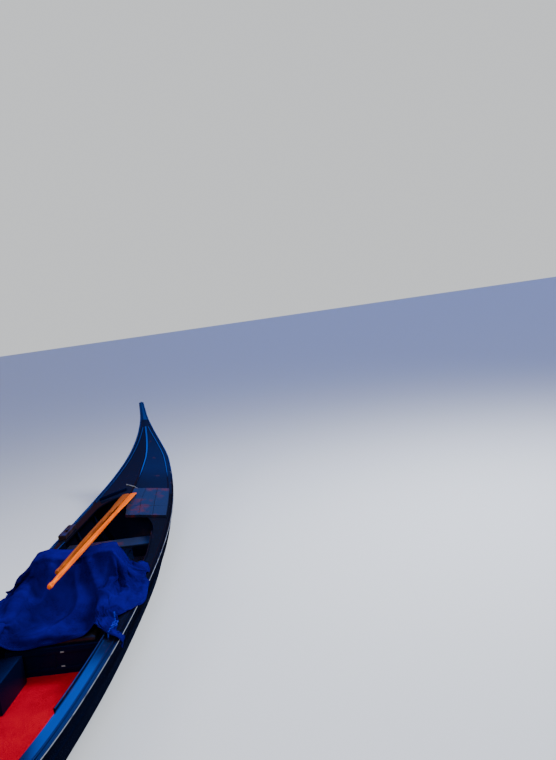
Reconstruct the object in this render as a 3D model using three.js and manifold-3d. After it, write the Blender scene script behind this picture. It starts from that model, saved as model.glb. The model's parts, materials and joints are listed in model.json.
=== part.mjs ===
import * as THREE from 'three';
import { mergeVertices } from 'three/addons/utils/BufferGeometryUtils.js';
import Module from 'manifold-3d';

// Gondola boat. Millimetres, +X towards the bow, +Y to port, +Z up. The origin is on the underside
// of the flat bottom, halfway along the boat. Stations are measured forward from the stern tip.

const wasm = await Module();
wasm.setup();

// Driving dimensions
const overallLength = 10870;
const portBulge = 156; // how far the curved centreline stands to port amidships
const sternLean = 187; // how far the stern tip leans back to starboard
const sternLeanFrom = 1300;
const gap = 0.3; // between pieces that touch on flat faces
const ease = 1; // between pieces that touch on the hull's curved faces
const plank = 20;
const deckThick = 18;
const bottomThick = 22;
const boardThick = 15;

const sternPostEnd = 300; // the solid stern end runs from the tip to here
const stemStart = 10400; // the solid bow end runs from here to the stem head
const stemHead = 10620;
const bottomAft = 900;
const bottomFore = 10150;
const sternDeckEnd = 2550;
const portDeckEnd = 3150; // the port half of the stern deck runs further forward
const foredeckStart = 8350;
const floorTop = 150;

// Hull lines: station, half breadth at the sheer, half breadth at the chine, height of the bottom
// and height of the sheer
const hullLines = [
  [0, 12, 9, 1490, 1590],
  [250, 38, 16, 1100, 1377],
  [500, 99, 24, 860, 1211],
  [800, 185, 44, 645, 1065],
  [1200, 291, 92, 432, 928],
  [1700, 394, 168, 262, 808],
  [2300, 491, 255, 140, 722],
  [3000, 574, 340, 50, 661],
  [4000, 652, 415, 0, 607],
  [5200, 678, 448, 0, 560],
  [6500, 681, 445, 0, 548],
  [7800, 618, 375, 12, 556],
  [8600, 535, 290, 80, 620],
  [9300, 410, 190, 205, 730],
  [9900, 265, 95, 395, 870],
  [10300, 145, 38, 610, 995],
  [10620, 40, 16, 880, 1105],
];
const columnCount = 4;
const hullCurve = new THREE.CubicInterpolant(
  hullLines.map((row) => row[0]),
  hullLines.flatMap((row) => row.slice(1)),
  columnCount,
  new Float64Array(columnCount),
);

// The smooth hull at a station: its place, half breadths and heights
function smoothHull(station) {
  const [sheerHalf, chineHalf, bottomZ, sheerZ] = hullCurve.evaluate(station);
  const lean = Math.max(0, 1 - station / sternLeanFrom) ** 1.6;
  return {
    x: station - overallLength / 2,
    y: portBulge * Math.sin((Math.PI * station) / overallLength) - sternLean * lean,
    sheerHalf,
    chineHalf,
    bottomZ: Math.max(0, bottomZ),
    sheerZ,
  };
}

// Sections stand closer together towards the ends, and all pieces are straight between them
const sectionCount = 44;
const sections = Array.from({ length: sectionCount + 1 }, (_, i) => {
  const share = i / sectionCount;
  return stemHead * (0.5 * share + 0.25 * (1 - Math.cos(Math.PI * share)));
});
const hulls = sections.map(smoothHull);

// The hull at a station, straight between its two sections
function hullAt(station) {
  const next = THREE.MathUtils.clamp(
    sections.findIndex((s) => s > station),
    1,
    sectionCount,
  );
  const k = station >= stemHead ? sectionCount : next;
  const share = (station - sections[k - 1]) / (sections[k] - sections[k - 1]);
  const hull = {};
  for (const key of Object.keys(hulls[0])) {
    hull[key] = hulls[k - 1][key] + (hulls[k][key] - hulls[k - 1][key]) * share;
  }
  return hull;
}

function stationsBetween(from, to) {
  return [from, ...sections.filter((s) => s > from + 1 && s < to - 1), to];
}

// Half breadth of the outer planking at a height: a flared side with a slight belly, knuckled
// at a third and at two thirds of its depth
const knuckles = [1 / 3, 2 / 3];
const sideBelly = 22;
const fullBellyAt = 200; // the belly fades where the bottom is narrower than this
function outerHalf(hull, z) {
  const rise = THREE.MathUtils.clamp((z - hull.bottomZ) / (hull.sheerZ - hull.bottomZ), 0, 1);
  const belly = sideBelly * Math.min(1, hull.chineHalf / fullBellyAt) * Math.min(1, 3 * rise, 3 - 3 * rise);
  return hull.chineHalf + (hull.sheerHalf - hull.chineHalf) * rise + belly;
}

// Heights from low to high along a side, with its knuckles
function sideHeights(hull, low, high) {
  const depth = hull.sheerZ - hull.bottomZ;
  return [low, ...knuckles.map((rise) => hull.bottomZ + depth * rise), high];
}

function innerHalf(hull, z) {
  return Math.max(gap, outerHalf(hull, z) - plank);
}

// Top of the deck at a distance from the centreline: a ridge that falls to the sheer
const ridgeShare = 0.13;
function deckTop(hull, across) {
  const share = Math.min(1, Math.abs(across) / hull.sheerHalf);
  return hull.sheerZ + gap + deckThick + ridgeShare * hull.sheerHalf * (1 - share ** 1.2);
}

// One end of a loft, closed by triangles that turn with the ring or against it
function capRing(ring, start, turn, index) {
  const spans = [0, 1, 2].map((k) => {
    const values = ring.map((point) => point[k]);
    return Math.max(...values) - Math.min(...values);
  });
  const thin = spans.indexOf(Math.min(...spans));
  const [u, v] = [0, 1, 2].filter((k) => k !== thin);
  const flat = ring.map((point) => new THREE.Vector2(point[u], point[v]));
  const wanted = Math.sign(THREE.ShapeUtils.area(flat)) * turn;
  for (const [a, b, c] of THREE.ShapeUtils.triangulateShape(flat, [])) {
    const found = Math.sign(THREE.ShapeUtils.area([flat[a], flat[b], flat[c]]));
    index.push(start + a, start + (found === wanted ? b : c), start + (found === wanted ? c : b));
  }
}

// A closed solid through rings of points, all rings with the same count
function loft(rings) {
  const count = rings[0].length;
  const index = [];
  for (let r = 0; r < rings.length - 1; r += 1) {
    for (let k = 0; k < count; k += 1) {
      const a = r * count + k;
      const b = r * count + ((k + 1) % count);
      index.push(a, b, a + count, b, b + count, a + count);
    }
  }
  capRing(rings[0], 0, -1, index);
  capRing(rings[rings.length - 1], (rings.length - 1) * count, 1, index);
  const geometry = new THREE.BufferGeometry();
  geometry.setAttribute('position', new THREE.BufferAttribute(new Float32Array(rings.flat(2)), 3));
  geometry.setIndex(index);
  return outward(geometry);
}

// Turns a closed mesh's faces outwards
function outward(geometry) {
  const position = geometry.getAttribute('position');
  const index = geometry.getIndex().array;
  const corner = [new THREE.Vector3(), new THREE.Vector3(), new THREE.Vector3()];
  let volume = 0;
  for (let i = 0; i < index.length; i += 3) {
    corner.forEach((point, k) => point.fromBufferAttribute(position, index[i + k]));
    volume += corner[0].dot(corner[1].clone().cross(corner[2]));
  }
  if (volume < 0) {
    for (let i = 0; i < index.length; i += 3) {
      [index[i + 1], index[i + 2]] = [index[i + 2], index[i + 1]];
    }
  }
  return geometry;
}

function toSolid(geometry) {
  const bare = geometry.clone();
  bare.deleteAttribute('normal');
  bare.deleteAttribute('uv');
  const merged = mergeVertices(bare, 1e-3);
  return new wasm.Manifold(
    new wasm.Mesh({
      numProp: 3,
      vertProperties: new Float32Array(merged.getAttribute('position').array),
      triVerts: new Uint32Array(merged.getIndex().array),
    }),
  );
}

function toGeometry(solid) {
  const mesh = solid.getMesh();
  const geometry = new THREE.BufferGeometry();
  geometry.setAttribute('position', new THREE.BufferAttribute(new Float32Array(mesh.vertProperties), 3));
  geometry.setIndex(new THREE.BufferAttribute(new Uint32Array(mesh.triVerts), 1));
  return geometry;
}

// Finishes: colour, roughness, metalness
const finishes = {
  blackLacquer: [0x0b0c10, 0.18, 0],
  wornBlack: [0x17161a, 0.55, 0],
  floorBoard: [0x3a1c16, 0.6, 0],
  redCarpet: [0xc0101c, 0.95, 0],
  blueCover: [0x10249a, 0.8, 0],
  varnishedOar: [0xd98a25, 0.3, 0],
  rowlockWood: [0x2c1a12, 0.5, 0],
  steel: [0xb9bcc0, 0.3, 0.9],
  seatLeather: [0x141216, 0.5, 0],
};

const gondola = new THREE.Group();

function add(name, geometry, finish) {
  const [color, roughness, metalness] = finishes[finish];
  const mesh = new THREE.Mesh(
    geometry,
    new THREE.MeshStandardMaterial({ color, roughness, metalness, side: THREE.FrontSide }),
  );
  mesh.name = name;
  gondola.add(mesh);
}

const sides = [
  ['port', 1],
  ['starboard', -1],
];

// Hull shell

function sideRing(station, hand) {
  const hull = hullAt(station);
  const heights = sideHeights(hull, hull.bottomZ, hull.sheerZ);
  const outer = heights.map((z) => [hull.x, hull.y + hand * outerHalf(hull, z), z]);
  const inner = heights.map((z) => [hull.x, hull.y + hand * innerHalf(hull, z), z]);
  return [...outer, ...inner.reverse()];
}

function bottomRing(station) {
  const hull = hullAt(station);
  const half = hull.chineHalf - plank - gap;
  const top = hull.bottomZ + bottomThick;
  return [
    [hull.x, hull.y - half, hull.bottomZ],
    [hull.x, hull.y + half, hull.bottomZ],
    [hull.x, hull.y + half, top],
    [hull.x, hull.y - half, top],
  ];
}

// The solid ends have the whole section, deck ridge and all
function endRing(station) {
  const hull = hullAt(station);
  const heights = sideHeights(hull, hull.bottomZ, hull.sheerZ);
  const port = heights.map((z) => [hull.x, hull.y + outerHalf(hull, z), z]);
  const starboard = heights.map((z) => [hull.x, hull.y - outerHalf(hull, z), z]).reverse();
  const edgeZ = deckTop(hull, hull.sheerHalf);
  return [
    ...port,
    [hull.x, hull.y + hull.sheerHalf, edgeZ],
    [hull.x, hull.y, deckTop(hull, 0)],
    [hull.x, hull.y - hull.sheerHalf, edgeZ],
    ...starboard,
  ];
}

add('bottom_planking', loft(stationsBetween(bottomAft, bottomFore).map(bottomRing)), 'blackLacquer');
for (const [side, hand] of sides) {
  const stations = stationsBetween(sternPostEnd + gap, stemStart - gap);
  add(`${side}_side_planking`, loft(stations.map((s) => sideRing(s, hand))), 'blackLacquer');
}
add('stern_post', loft(stationsBetween(0, sternPostEnd).map(endRing)), 'blackLacquer');
add('stem_post', loft(stationsBetween(stemStart, stemHead).map(endRing)), 'blackLacquer');

// Frames: floor timbers and side ribs on a keelson, one joined piece

const frameFirst = 2700;
const frameSpacing = 560;
const frameCount = 11;
const frameWidth = 40;
const ribDepth = 34;
const keelsonHalf = 55;
const keelsonHeight = 40;

// Underside of the floor boards, which rise with the bottom near the ends
function floorUnder(hull) {
  return Math.max(floorTop - boardThick, hull.bottomZ + bottomThick + 14);
}

function frameRing(station) {
  const hull = hullAt(station);
  const low = hull.bottomZ + bottomThick + gap;
  const high = hull.sheerZ - 2;
  const timberTop = floorUnder(hull) - gap;
  const outerEdge = sideHeights(hull, low, high).map((z) => [innerHalf(hull, z) - ease, z]);
  const innerEdge = sideHeights(hull, timberTop, high)
    .map((z) => [innerHalf(hull, z) - ease - ribDepth, z])
    .reverse();
  const half = [...outerEdge, ...innerEdge];
  const port = half.map(([y, z]) => [hull.x, hull.y + y, z]);
  const starboard = half.map(([y, z]) => [hull.x, hull.y - y, z]).reverse();
  return [...port, ...starboard];
}

function keelsonRing(station) {
  const hull = hullAt(station);
  const low = hull.bottomZ + bottomThick + gap;
  const high = Math.min(low + keelsonHeight, floorUnder(hull) - gap);
  return [
    [hull.x, hull.y - keelsonHalf, low],
    [hull.x, hull.y + keelsonHalf, low],
    [hull.x, hull.y + keelsonHalf, high],
    [hull.x, hull.y - keelsonHalf, high],
  ];
}

const frameStations = Array.from({ length: frameCount }, (_, i) => frameFirst + i * frameSpacing);
const keelsonAft = frameFirst - 60;
const keelsonFore = frameStations[frameCount - 1] + frameWidth;
let frames = toSolid(loft(stationsBetween(keelsonAft, keelsonFore).map(keelsonRing)));
for (const station of frameStations) {
  frames = frames.add(toSolid(loft([frameRing(station), frameRing(station + frameWidth)])));
}
add('frames', toGeometry(frames), 'wornBlack');

// Floor boards of the three wells

function floorRing(station) {
  const hull = hullAt(station);
  const under = floorUnder(hull);
  const half = innerHalf(hull, under) - ribDepth - 6;
  return [
    [hull.x, hull.y - half, under],
    [hull.x, hull.y + half, under],
    [hull.x, hull.y + half, under + boardThick],
    [hull.x, hull.y - half, under + boardThick],
  ];
}

const wellEnds = { stern: [2580, 4150], passenger: [4150 + ease, 7900 - ease], bow: [7900, 8360] };
for (const [name, [aft, fore]] of Object.entries(wellEnds)) {
  add(`${name}_floor`, loft(stationsBetween(aft, fore).map(floorRing)), 'floorBoard');
}

// Decks

const ridgeShares = [1, 0.5, 0, -0.5, -1];
function deckRing(station) {
  const hull = hullAt(station);
  const across = ridgeShares.map((share) => share * hull.sheerHalf);
  const top = across.map((y) => [hull.x, hull.y + y, deckTop(hull, y)]);
  const under = across.map((y) => [hull.x, hull.y + y, deckTop(hull, y) - deckThick]);
  return [...top, ...under.reverse()];
}

// Width of the open well's edge from the centreline, rounded at its ends
const sideDeckWidths = [
  [2550, 175],
  [3850, 142],
  [4500, 100],
  [6700, 102],
  [7900, 106],
  [8350, 110],
];
const widthCurve = new THREE.LinearInterpolant(
  sideDeckWidths.map((row) => row[0]),
  sideDeckWidths.map((row) => row[1]),
  1,
  new Float64Array(1),
);
const wellInset = 60; // where a rounded end meets the deck, from the centreline
const roundings = { port: [portDeckEnd, 700], starboard: [sternDeckEnd, 300] };
const bowRounding = 450;

function wellHalf(station, side) {
  const full = hullAt(station).sheerHalf - widthCurve.evaluate(station)[0];
  const [from, length] = roundings[side];
  const ahead = THREE.MathUtils.clamp((station - from) / length, 0, 1);
  const astern = THREE.MathUtils.clamp((foredeckStart - station) / bowRounding, 0, 1);
  const round = (t) => Math.sqrt(1 - (1 - t) ** 2);
  return wellInset + (full - wellInset) * round(ahead) * round(astern);
}

function sideDeckRing(station, side, hand) {
  const hull = hullAt(station);
  const inner = wellHalf(station, side);
  const across = [hull.sheerHalf, (hull.sheerHalf + inner) / 2, inner];
  const top = across.map((y) => [hull.x, hull.y + hand * y, deckTop(hull, y)]);
  const under = across.map((y) => [hull.x, hull.y + hand * y, deckTop(hull, y) - deckThick]);
  return [...top, ...under.reverse()];
}

function sideDeckStations(side) {
  const [from, length] = roundings[side];
  const turn = [0, 12, 26, 42, 60, 90].map((a) => 1 - Math.cos(THREE.MathUtils.degToRad(a)));
  const start = Math.max(from, sternDeckEnd + gap);
  const end = foredeckStart - gap;
  const aftTurn = turn.map((t) => start + length * t);
  const bowTurn = turn.map((t) => end - bowRounding * t);
  const plain = stationsBetween(sternDeckEnd + gap, end);
  return [...new Set([...plain, ...aftTurn, ...bowTurn])].sort((a, b) => a - b);
}

add('stern_deck', loft(stationsBetween(sternPostEnd + gap, sternDeckEnd).map(deckRing)), 'blackLacquer');
add('foredeck', loft(stationsBetween(foredeckStart, stemStart - gap).map(deckRing)), 'blackLacquer');
for (const [side, hand] of sides) {
  const rings = sideDeckStations(side).map((s) => sideDeckRing(s, side, hand));
  add(`${side}_side_deck`, loft(rings), 'blackLacquer');
}

// Bulkheads under the decks

function bulkheadRing(station, fromY, toY, low) {
  const hull = hullAt(station);
  const top = [1, 0.5, 0].map((share) => {
    const y = fromY(hull) + (toY(hull) - fromY(hull)) * share;
    return [hull.x, hull.y + y, deckTop(hull, y) - deckThick - ease];
  });
  const floor = Math.max(low, hull.bottomZ + bottomThick + gap);
  const heights = sideHeights(hull, floor, hull.sheerZ).slice(0, -1);
  const edge = (y, z) => Math.sign(y) * Math.min(Math.abs(y), innerHalf(hull, z) - ease);
  const from = heights.map((z) => [hull.x, hull.y + edge(fromY(hull), z), z]).reverse();
  const to = heights.map((z) => [hull.x, hull.y + edge(toY(hull), z), z]);
  return [...top, ...from, ...to];
}

const toPortSide = (hull) => innerHalf(hull, hull.sheerZ) - ease;
const toStarboardSide = (hull) => -toPortSide(hull);
function bulkhead(station, fromY, toY, low = 0) {
  return loft([station, station + boardThick].map((s) => bulkheadRing(s, fromY, toY, low)));
}

const lockerHalf = 44; // the port locker's side board stands this far from the centreline
add('stern_bulkhead', bulkhead(sternDeckEnd - 40, toStarboardSide, toPortSide), 'wornBlack');
add('bow_bulkhead', bulkhead(foredeckStart + 25, toStarboardSide, toPortSide), 'blackLacquer');
add(
  'locker_front',
  bulkhead(portDeckEnd - 20, () => lockerHalf + 17, toPortSide, floorTop + gap),
  'wornBlack',
);

function lockerSideRing(station) {
  const hull = hullAt(station);
  const low = floorUnder(hull) + boardThick + gap;
  const high = deckTop(hull, wellInset) - deckThick - ease;
  return [
    [hull.x, hull.y + lockerHalf, low],
    [hull.x, hull.y + lockerHalf + boardThick, low],
    [hull.x, hull.y + lockerHalf + boardThick, high],
    [hull.x, hull.y + lockerHalf, high],
  ];
}
add('locker_side', loft(stationsBetween(2582, portDeckEnd - 24).map(lockerSideRing)), 'wornBlack');

// Standing platform on the port half of the stern deck, and the footrest beside it

const platformAft = 2440;
const platformFore = 3400;
const platformThick = 32;
const platformInner = 30;
const platformTaper = 75; // the inner edge bends outward by this much at the fore end
const taperFrom = 2900;
const platformEdge = 28;
function platformRing(station) {
  const hull = hullAt(station);
  const taper = platformTaper * Math.max(0, (station - taperFrom) / (platformFore - taperFrom));
  const across = [hull.sheerHalf - platformEdge, hull.sheerHalf / 2, platformInner + taper];
  const under = across.map((y) => [hull.x, hull.y + y, deckTop(hull, y) + 1.5]);
  const top = across.map((y) => [hull.x, hull.y + y, deckTop(hull, y) + 1.5 + platformThick]);
  return [...top, ...under.reverse()];
}
add('stern_platform', loft(stationsBetween(platformAft, platformFore).map(platformRing)), 'wornBlack');

const footrestFrom = { station: 2380, y: -90 };
const footrestTo = { station: 2530, y: -420 };
const footrestWidth = 60;
const footrestHeight = 42;
function footrestRing(share) {
  const station = footrestFrom.station + (footrestTo.station - footrestFrom.station) * share;
  const y = footrestFrom.y + (footrestTo.y - footrestFrom.y) * share;
  const aft = hullAt(station - footrestWidth);
  const fore = hullAt(station);
  const low = [aft, fore].map((hull) => deckTop(hull, y) + 1);
  return [
    [aft.x, aft.y + y, low[0]],
    [fore.x, fore.y + y, low[1]],
    [fore.x, fore.y + y, low[1] + footrestHeight],
    [aft.x, aft.y + y, low[0] + 10],
  ];
}
add('footrest', loft([0, 0.5, 1].map(footrestRing)), 'wornBlack');

// Rails along the sheer and strakes along the side

const railWidth = 22;
const railBelow = 18;
const railAbove = 4;
function railRing(station, hand) {
  const hull = hullAt(station);
  const inner = hull.sheerHalf + gap + 0.2;
  const low = hull.sheerZ - railBelow;
  const high = deckTop(hull, hull.sheerHalf) + railAbove;
  return [
    [hull.x, hull.y + hand * inner, low],
    [hull.x, hull.y + hand * (inner + railWidth * 0.7), low + 6],
    [hull.x, hull.y + hand * (inner + railWidth), (low + high) / 2],
    [hull.x, hull.y + hand * (inner + railWidth * 0.7), high],
    [hull.x, hull.y + hand * inner, high],
  ];
}

const strakeShare = 0.74; // height of the strake in the side
const strakeHalf = 13;
const strakeWidth = 15;
function strakeRing(station, hand) {
  const hull = hullAt(station);
  const z = hull.bottomZ + (hull.sheerZ - hull.bottomZ) * strakeShare;
  const inner = (height) => outerHalf(hull, height) + 1;
  return [
    [hull.x, hull.y + hand * inner(z - strakeHalf), z - strakeHalf],
    [hull.x, hull.y + hand * (inner(z) + strakeWidth), z - strakeHalf / 2],
    [hull.x, hull.y + hand * (inner(z) + strakeWidth), z + strakeHalf / 2],
    [hull.x, hull.y + hand * inner(z + strakeHalf), z + strakeHalf],
  ];
}

for (const [side, hand] of sides) {
  const rail = stationsBetween(0, stemHead - 40).map((s) => railRing(s, hand));
  add(`${side}_gunwale_rail`, loft(rail), 'wornBlack');
  const strake = stationsBetween(1500, 9600).map((s) => strakeRing(s, hand));
  add(`${side}_rub_strake`, loft(strake), 'blackLacquer');
}

// Coamings on the well's edges and the lining of the passenger well

const coamingThick = 14;
const coamingAbove = 22;
const coamingBelow = 80;
function coamingRing(station, side, hand) {
  const hull = hullAt(station);
  const outer = wellHalf(station, side) - gap - 0.5;
  const high = deckTop(hull, outer) + coamingAbove;
  const low = hull.sheerZ - coamingBelow;
  return [
    [hull.x, hull.y + hand * outer, low],
    [hull.x, hull.y + hand * outer, high],
    [hull.x, hull.y + hand * (outer - coamingThick), high],
    [hull.x, hull.y + hand * (outer - coamingThick), low],
  ];
}

const liningThick = 8;
function liningRing(station, hand) {
  const hull = hullAt(station);
  const low = floorTop + gap;
  const high = hull.sheerZ - 10;
  const outside = (z) => innerHalf(hull, z) - ribDepth - 2 * ease;
  const heights = sideHeights(hull, low, high);
  const outer = heights.map((z) => [outside(z), z]);
  const inner = heights.map((z) => [outside(z) - liningThick, z]).reverse();
  return [...outer, ...inner].map(([y, z]) => [hull.x, hull.y + hand * y, z]);
}

for (const [side, hand] of sides) {
  const coaming = stationsBetween(3880, 7300).map((s) => coamingRing(s, side, hand));
  add(`${side}_coaming`, loft(coaming), 'blackLacquer');
  const lining = stationsBetween(4200, 7860).map((s) => liningRing(s, hand));
  add(`${side}_lining`, loft(lining), 'wornBlack');
}

// Thwarts, between the ribs

const thwartThick = 26;
function thwart(from, to, top) {
  return loft(
    stationsBetween(from, to).map((station) => {
      const hull = hullAt(station);
      const half = innerHalf(hull, top - thwartThick) - ease;
      return [
        [hull.x, hull.y - half, top - thwartThick],
        [hull.x, hull.y + half, top - thwartThick],
        [hull.x, hull.y + half, top],
        [hull.x, hull.y - half, top],
      ];
    }),
  );
}
add('stern_thwart', thwart(3545, 3815, 520), 'wornBlack');
add('bow_thwart', thwart(7950, 8150, 480), 'wornBlack');

// Rowlock sockets: blocks with a mortise

const blockLength = 340;
const blockHalf = 46;
const blockHeight = 58;
const blockInset = 66; // from the sheer to the block's middle
const mortise = { length: 90, width: 46, depth: 40 };
function rowlockBlock(station, hand) {
  const rings = stationsBetween(station - blockLength / 2, station + blockLength / 2).map((s) => {
    const hull = hullAt(s);
    const middle = hull.sheerHalf - blockInset;
    const across = [middle - blockHalf, middle, middle + blockHalf];
    const under = across.map((y) => [hull.x, hull.y + hand * y, deckTop(hull, y) + ease / 2]);
    const high = deckTop(hull, middle) + blockHeight;
    const top = across.map((y) => [hull.x, hull.y + hand * y, high]).reverse();
    return [...under, ...top];
  });
  const hull = hullAt(station);
  const hole = new THREE.BoxGeometry(mortise.length, mortise.width, 2 * mortise.depth);
  const y = hull.sheerHalf - blockInset;
  hole.translate(hull.x + 20, hull.y + hand * y, deckTop(hull, y) + blockHeight);
  return toGeometry(toSolid(loft(rings)).subtract(toSolid(hole)));
}
add('stern_rowlock_block', rowlockBlock(3560, -1), 'rowlockWood');
add('bow_rowlock_block', rowlockBlock(8160, 1), 'rowlockWood');

// Bow iron: a flat blade that follows the stem, with six teeth ahead and one astern

const ironThick = 14;
const ironAft = 9500; // where the iron's strap starts under the bow
const strapWide = 46;
const toothCount = 6;
const toothPitch = 78;
const toothHigh = 46;
const toothLong = 150;
const combWeb = 92;
const combLow = 905;
const headZ = 1190; // where the blade clears the stem head
const backTooth = { long: 165, high: 48 };

// The stem's outline in the middle plane, moved out at right angles
function stemOutline(off) {
  return stationsBetween(ironAft, stemHead).map((station) => {
    const hull = hullAt(station - 1);
    const next = hullAt(station);
    const slope = Math.atan2(next.bottomZ - hull.bottomZ, 1);
    return [next.x + Math.sin(slope) * off, next.bottomZ - Math.cos(slope) * off];
  });
}

const stemX = stemHead + ease / 2 - overallLength / 2;
const bowIron = new THREE.Shape();
const innerEdge = stemOutline(ease / 2);
bowIron.moveTo(...innerEdge[0]);
for (const point of innerEdge.slice(1)) bowIron.lineTo(...point);
bowIron.lineTo(stemX, headZ);
bowIron.lineTo(stemX - backTooth.long, headZ);
bowIron.lineTo(stemX - backTooth.long, headZ + backTooth.high);
bowIron.lineTo(stemX - 10, headZ + backTooth.high);
bowIron.quadraticCurveTo(stemX - 25, 1420, stemX - 95, 1500);
bowIron.quadraticCurveTo(stemX + 10, 1700, stemX + 185, 1668);
bowIron.quadraticCurveTo(stemX + 235, 1540, stemX + combWeb, combLow + toothCount * toothPitch);
for (let tooth = toothCount - 1; tooth >= 0; tooth -= 1) {
  const low = combLow + tooth * toothPitch;
  bowIron.lineTo(stemX + combWeb, low + toothHigh);
  bowIron.lineTo(stemX + combWeb + toothLong, low + toothHigh);
  bowIron.lineTo(stemX + combWeb + toothLong, low);
  bowIron.lineTo(stemX + combWeb, low);
}
for (const point of stemOutline(strapWide).reverse()) bowIron.lineTo(...point);
const bowIronGeometry = new THREE.ExtrudeGeometry(bowIron, {
  depth: ironThick,
  bevelEnabled: false,
  curveSegments: 8,
});
bowIronGeometry.rotateX(Math.PI / 2);
bowIronGeometry.translate(0, ironThick / 2, 0);

// The strap follows the curved centreline, and the comb stays in the stem's plane
const ironPoints = bowIronGeometry.getAttribute('position');
for (let i = 0; i < ironPoints.count; i += 1) {
  const station = Math.min(stemHead, ironPoints.getX(i) + overallLength / 2);
  ironPoints.setY(i, ironPoints.getY(i) + hullAt(station).y);
}
add('bow_iron', bowIronGeometry, 'steel');

// Stern iron: a strap up the back of the stern post

const strapThick = 9;
function sternIronRing(station) {
  const hull = hullAt(station);
  const next = hullAt(station + 10);
  const slope = Math.atan2(next.bottomZ - hull.bottomZ, 10);
  const outX = Math.sin(slope);
  const outZ = -Math.cos(slope);
  const at = (y, off) => [hull.x + outX * off, hull.y + y, hull.bottomZ + outZ * off];
  const half = hull.chineHalf;
  return [at(-half, 0.4), at(half, 0.4), at(half, strapThick), at(-half, strapThick)];
}
add('stern_iron', loft(stationsBetween(10, 700).map(sternIronRing)), 'steel');

// Passenger seats

const seatBack = { aft: 5030, fore: 5190 };
const seatFront = 5930;
const seatTop = 400;

function boxBetween(aft, fore, half, low, high) {
  return loft(
    [aft, fore].map((station) => {
      const hull = hullAt(station);
      return [
        [hull.x, hull.y - half, low],
        [hull.x, hull.y + half, low],
        [hull.x, hull.y + half, high],
        [hull.x, hull.y - half, high],
      ];
    }),
  );
}
const seatHalf = 428;
const armThick = 40;
const armEnds = [
  [seatBack.fore + 3, 730],
  [5800, 630],
];
const cushionHalf = seatHalf - armThick - ease;
const cushionTop = seatTop + 85;
const seatStart = seatBack.fore + 2;
add('main_seat_base', boxBetween(seatStart, seatFront, seatHalf, floorTop + gap, seatTop), 'blackLacquer');
add(
  'main_seat_cushion',
  boxBetween(seatBack.fore + 12, seatFront - 10, cushionHalf, seatTop + gap, cushionTop),
  'seatLeather',
);
for (const [side, hand] of sides) {
  const rings = armEnds.map(([station, top]) => {
    const hull = hullAt(station);
    const outer = hull.y + hand * seatHalf;
    const inner = hull.y + hand * (seatHalf - armThick);
    return [
      [hull.x, outer, seatTop + gap],
      [hull.x, outer, top],
      [hull.x, inner, top],
      [hull.x, inner, seatTop + gap],
    ];
  });
  add(`${side}_armrest`, loft(rings), 'blackLacquer');
}

// The seat back's crest: distance to port of the centreline and height
const crest = [
  [445, 860],
  [420, 962],
  [300, 962],
  [240, 952],
  [90, 936],
  [-60, 936],
  [-220, 972],
  [-340, 950],
  [-400, 870],
];
function seatBackRing(station) {
  const hull = hullAt(station);
  const rake = (station - seatBack.aft) / 6;
  return [
    ...crest.map(([y, z]) => [hull.x, hull.y + y, z - rake]),
    [hull.x, hull.y + crest[crest.length - 1][0], 560],
    [hull.x, hull.y - seatHalf, 500],
    [hull.x, hull.y - seatHalf, floorTop + gap],
    [hull.x, hull.y + seatHalf, floorTop + gap],
    [hull.x, hull.y + seatHalf, 500],
    [hull.x, hull.y + crest[0][0], 560],
  ];
}
add('main_seat_back', loft([seatBack.aft, seatBack.fore].map(seatBackRing)), 'blackLacquer');

const carpetThick = 6;
function sideSeatRing(station) {
  const hull = hullAt(station);
  const low = floorTop + gap + carpetThick + gap;
  return [
    [hull.x, hull.y - 425, low],
    [hull.x, hull.y - 235, low],
    [hull.x, hull.y - 235, 400],
    [hull.x, hull.y - 425, 400],
  ];
}
add('side_seat', loft([6010, 6520].map(sideSeatRing)), 'blackLacquer');

// Carpet on the passenger floor

function carpetRing(station) {
  const hull = hullAt(station);
  const half = innerHalf(hull, floorTop) - ribDepth - 2 * ease - liningThick - 5;
  const low = floorTop + gap;
  return [
    [hull.x, hull.y - half, low],
    [hull.x, hull.y + half, low],
    [hull.x, hull.y + half, low + carpetThick],
    [hull.x, hull.y - half, low + carpetThick],
  ];
}
add('carpet', loft(stationsBetween(seatFront + 4, 7840).map(carpetRing)), 'redCarpet');

// Cover over the seats: heights of its upper face at these distances to port of the centreline.
// Outside them it crosses each coaming and lies on the side decks.

const coverAcross = [460, 430, 385, 250, 90, -60, -220, -385, -420];
const coverRows = [
  [4962, 645, 648, 650, 650, 650, 650, 650, 648, 645],
  [5004, 890, 982, 990, 976, 955, 955, 992, 960, 905],
  [5060, 890, 982, 990, 976, 955, 955, 992, 960, 905],
  [5196, 865, 955, 963, 949, 928, 928, 965, 933, 878],
  [5250, 760, 765, 765, 765, 765, 765, 765, 765, 765],
  [5450, 700, 712, 712, 640, 610, 605, 630, 712, 712],
  [5800, 655, 655, 655, 560, 515, 510, 545, 655, 655],
  [5950, 600, 560, 530, 508, 506, 506, 508, 520, 560],
];
const coverHem = [5975, 480, 450, 410, 385, 375, 375, 380, 400, 440];
const tentRows = { from: 4990, to: 5210, inner: 840, outer: 770 }; // the cover stands off the coaming here
const coverThick = 14;
const coverEdge = 650; // how far the cover reaches onto each side deck

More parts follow.
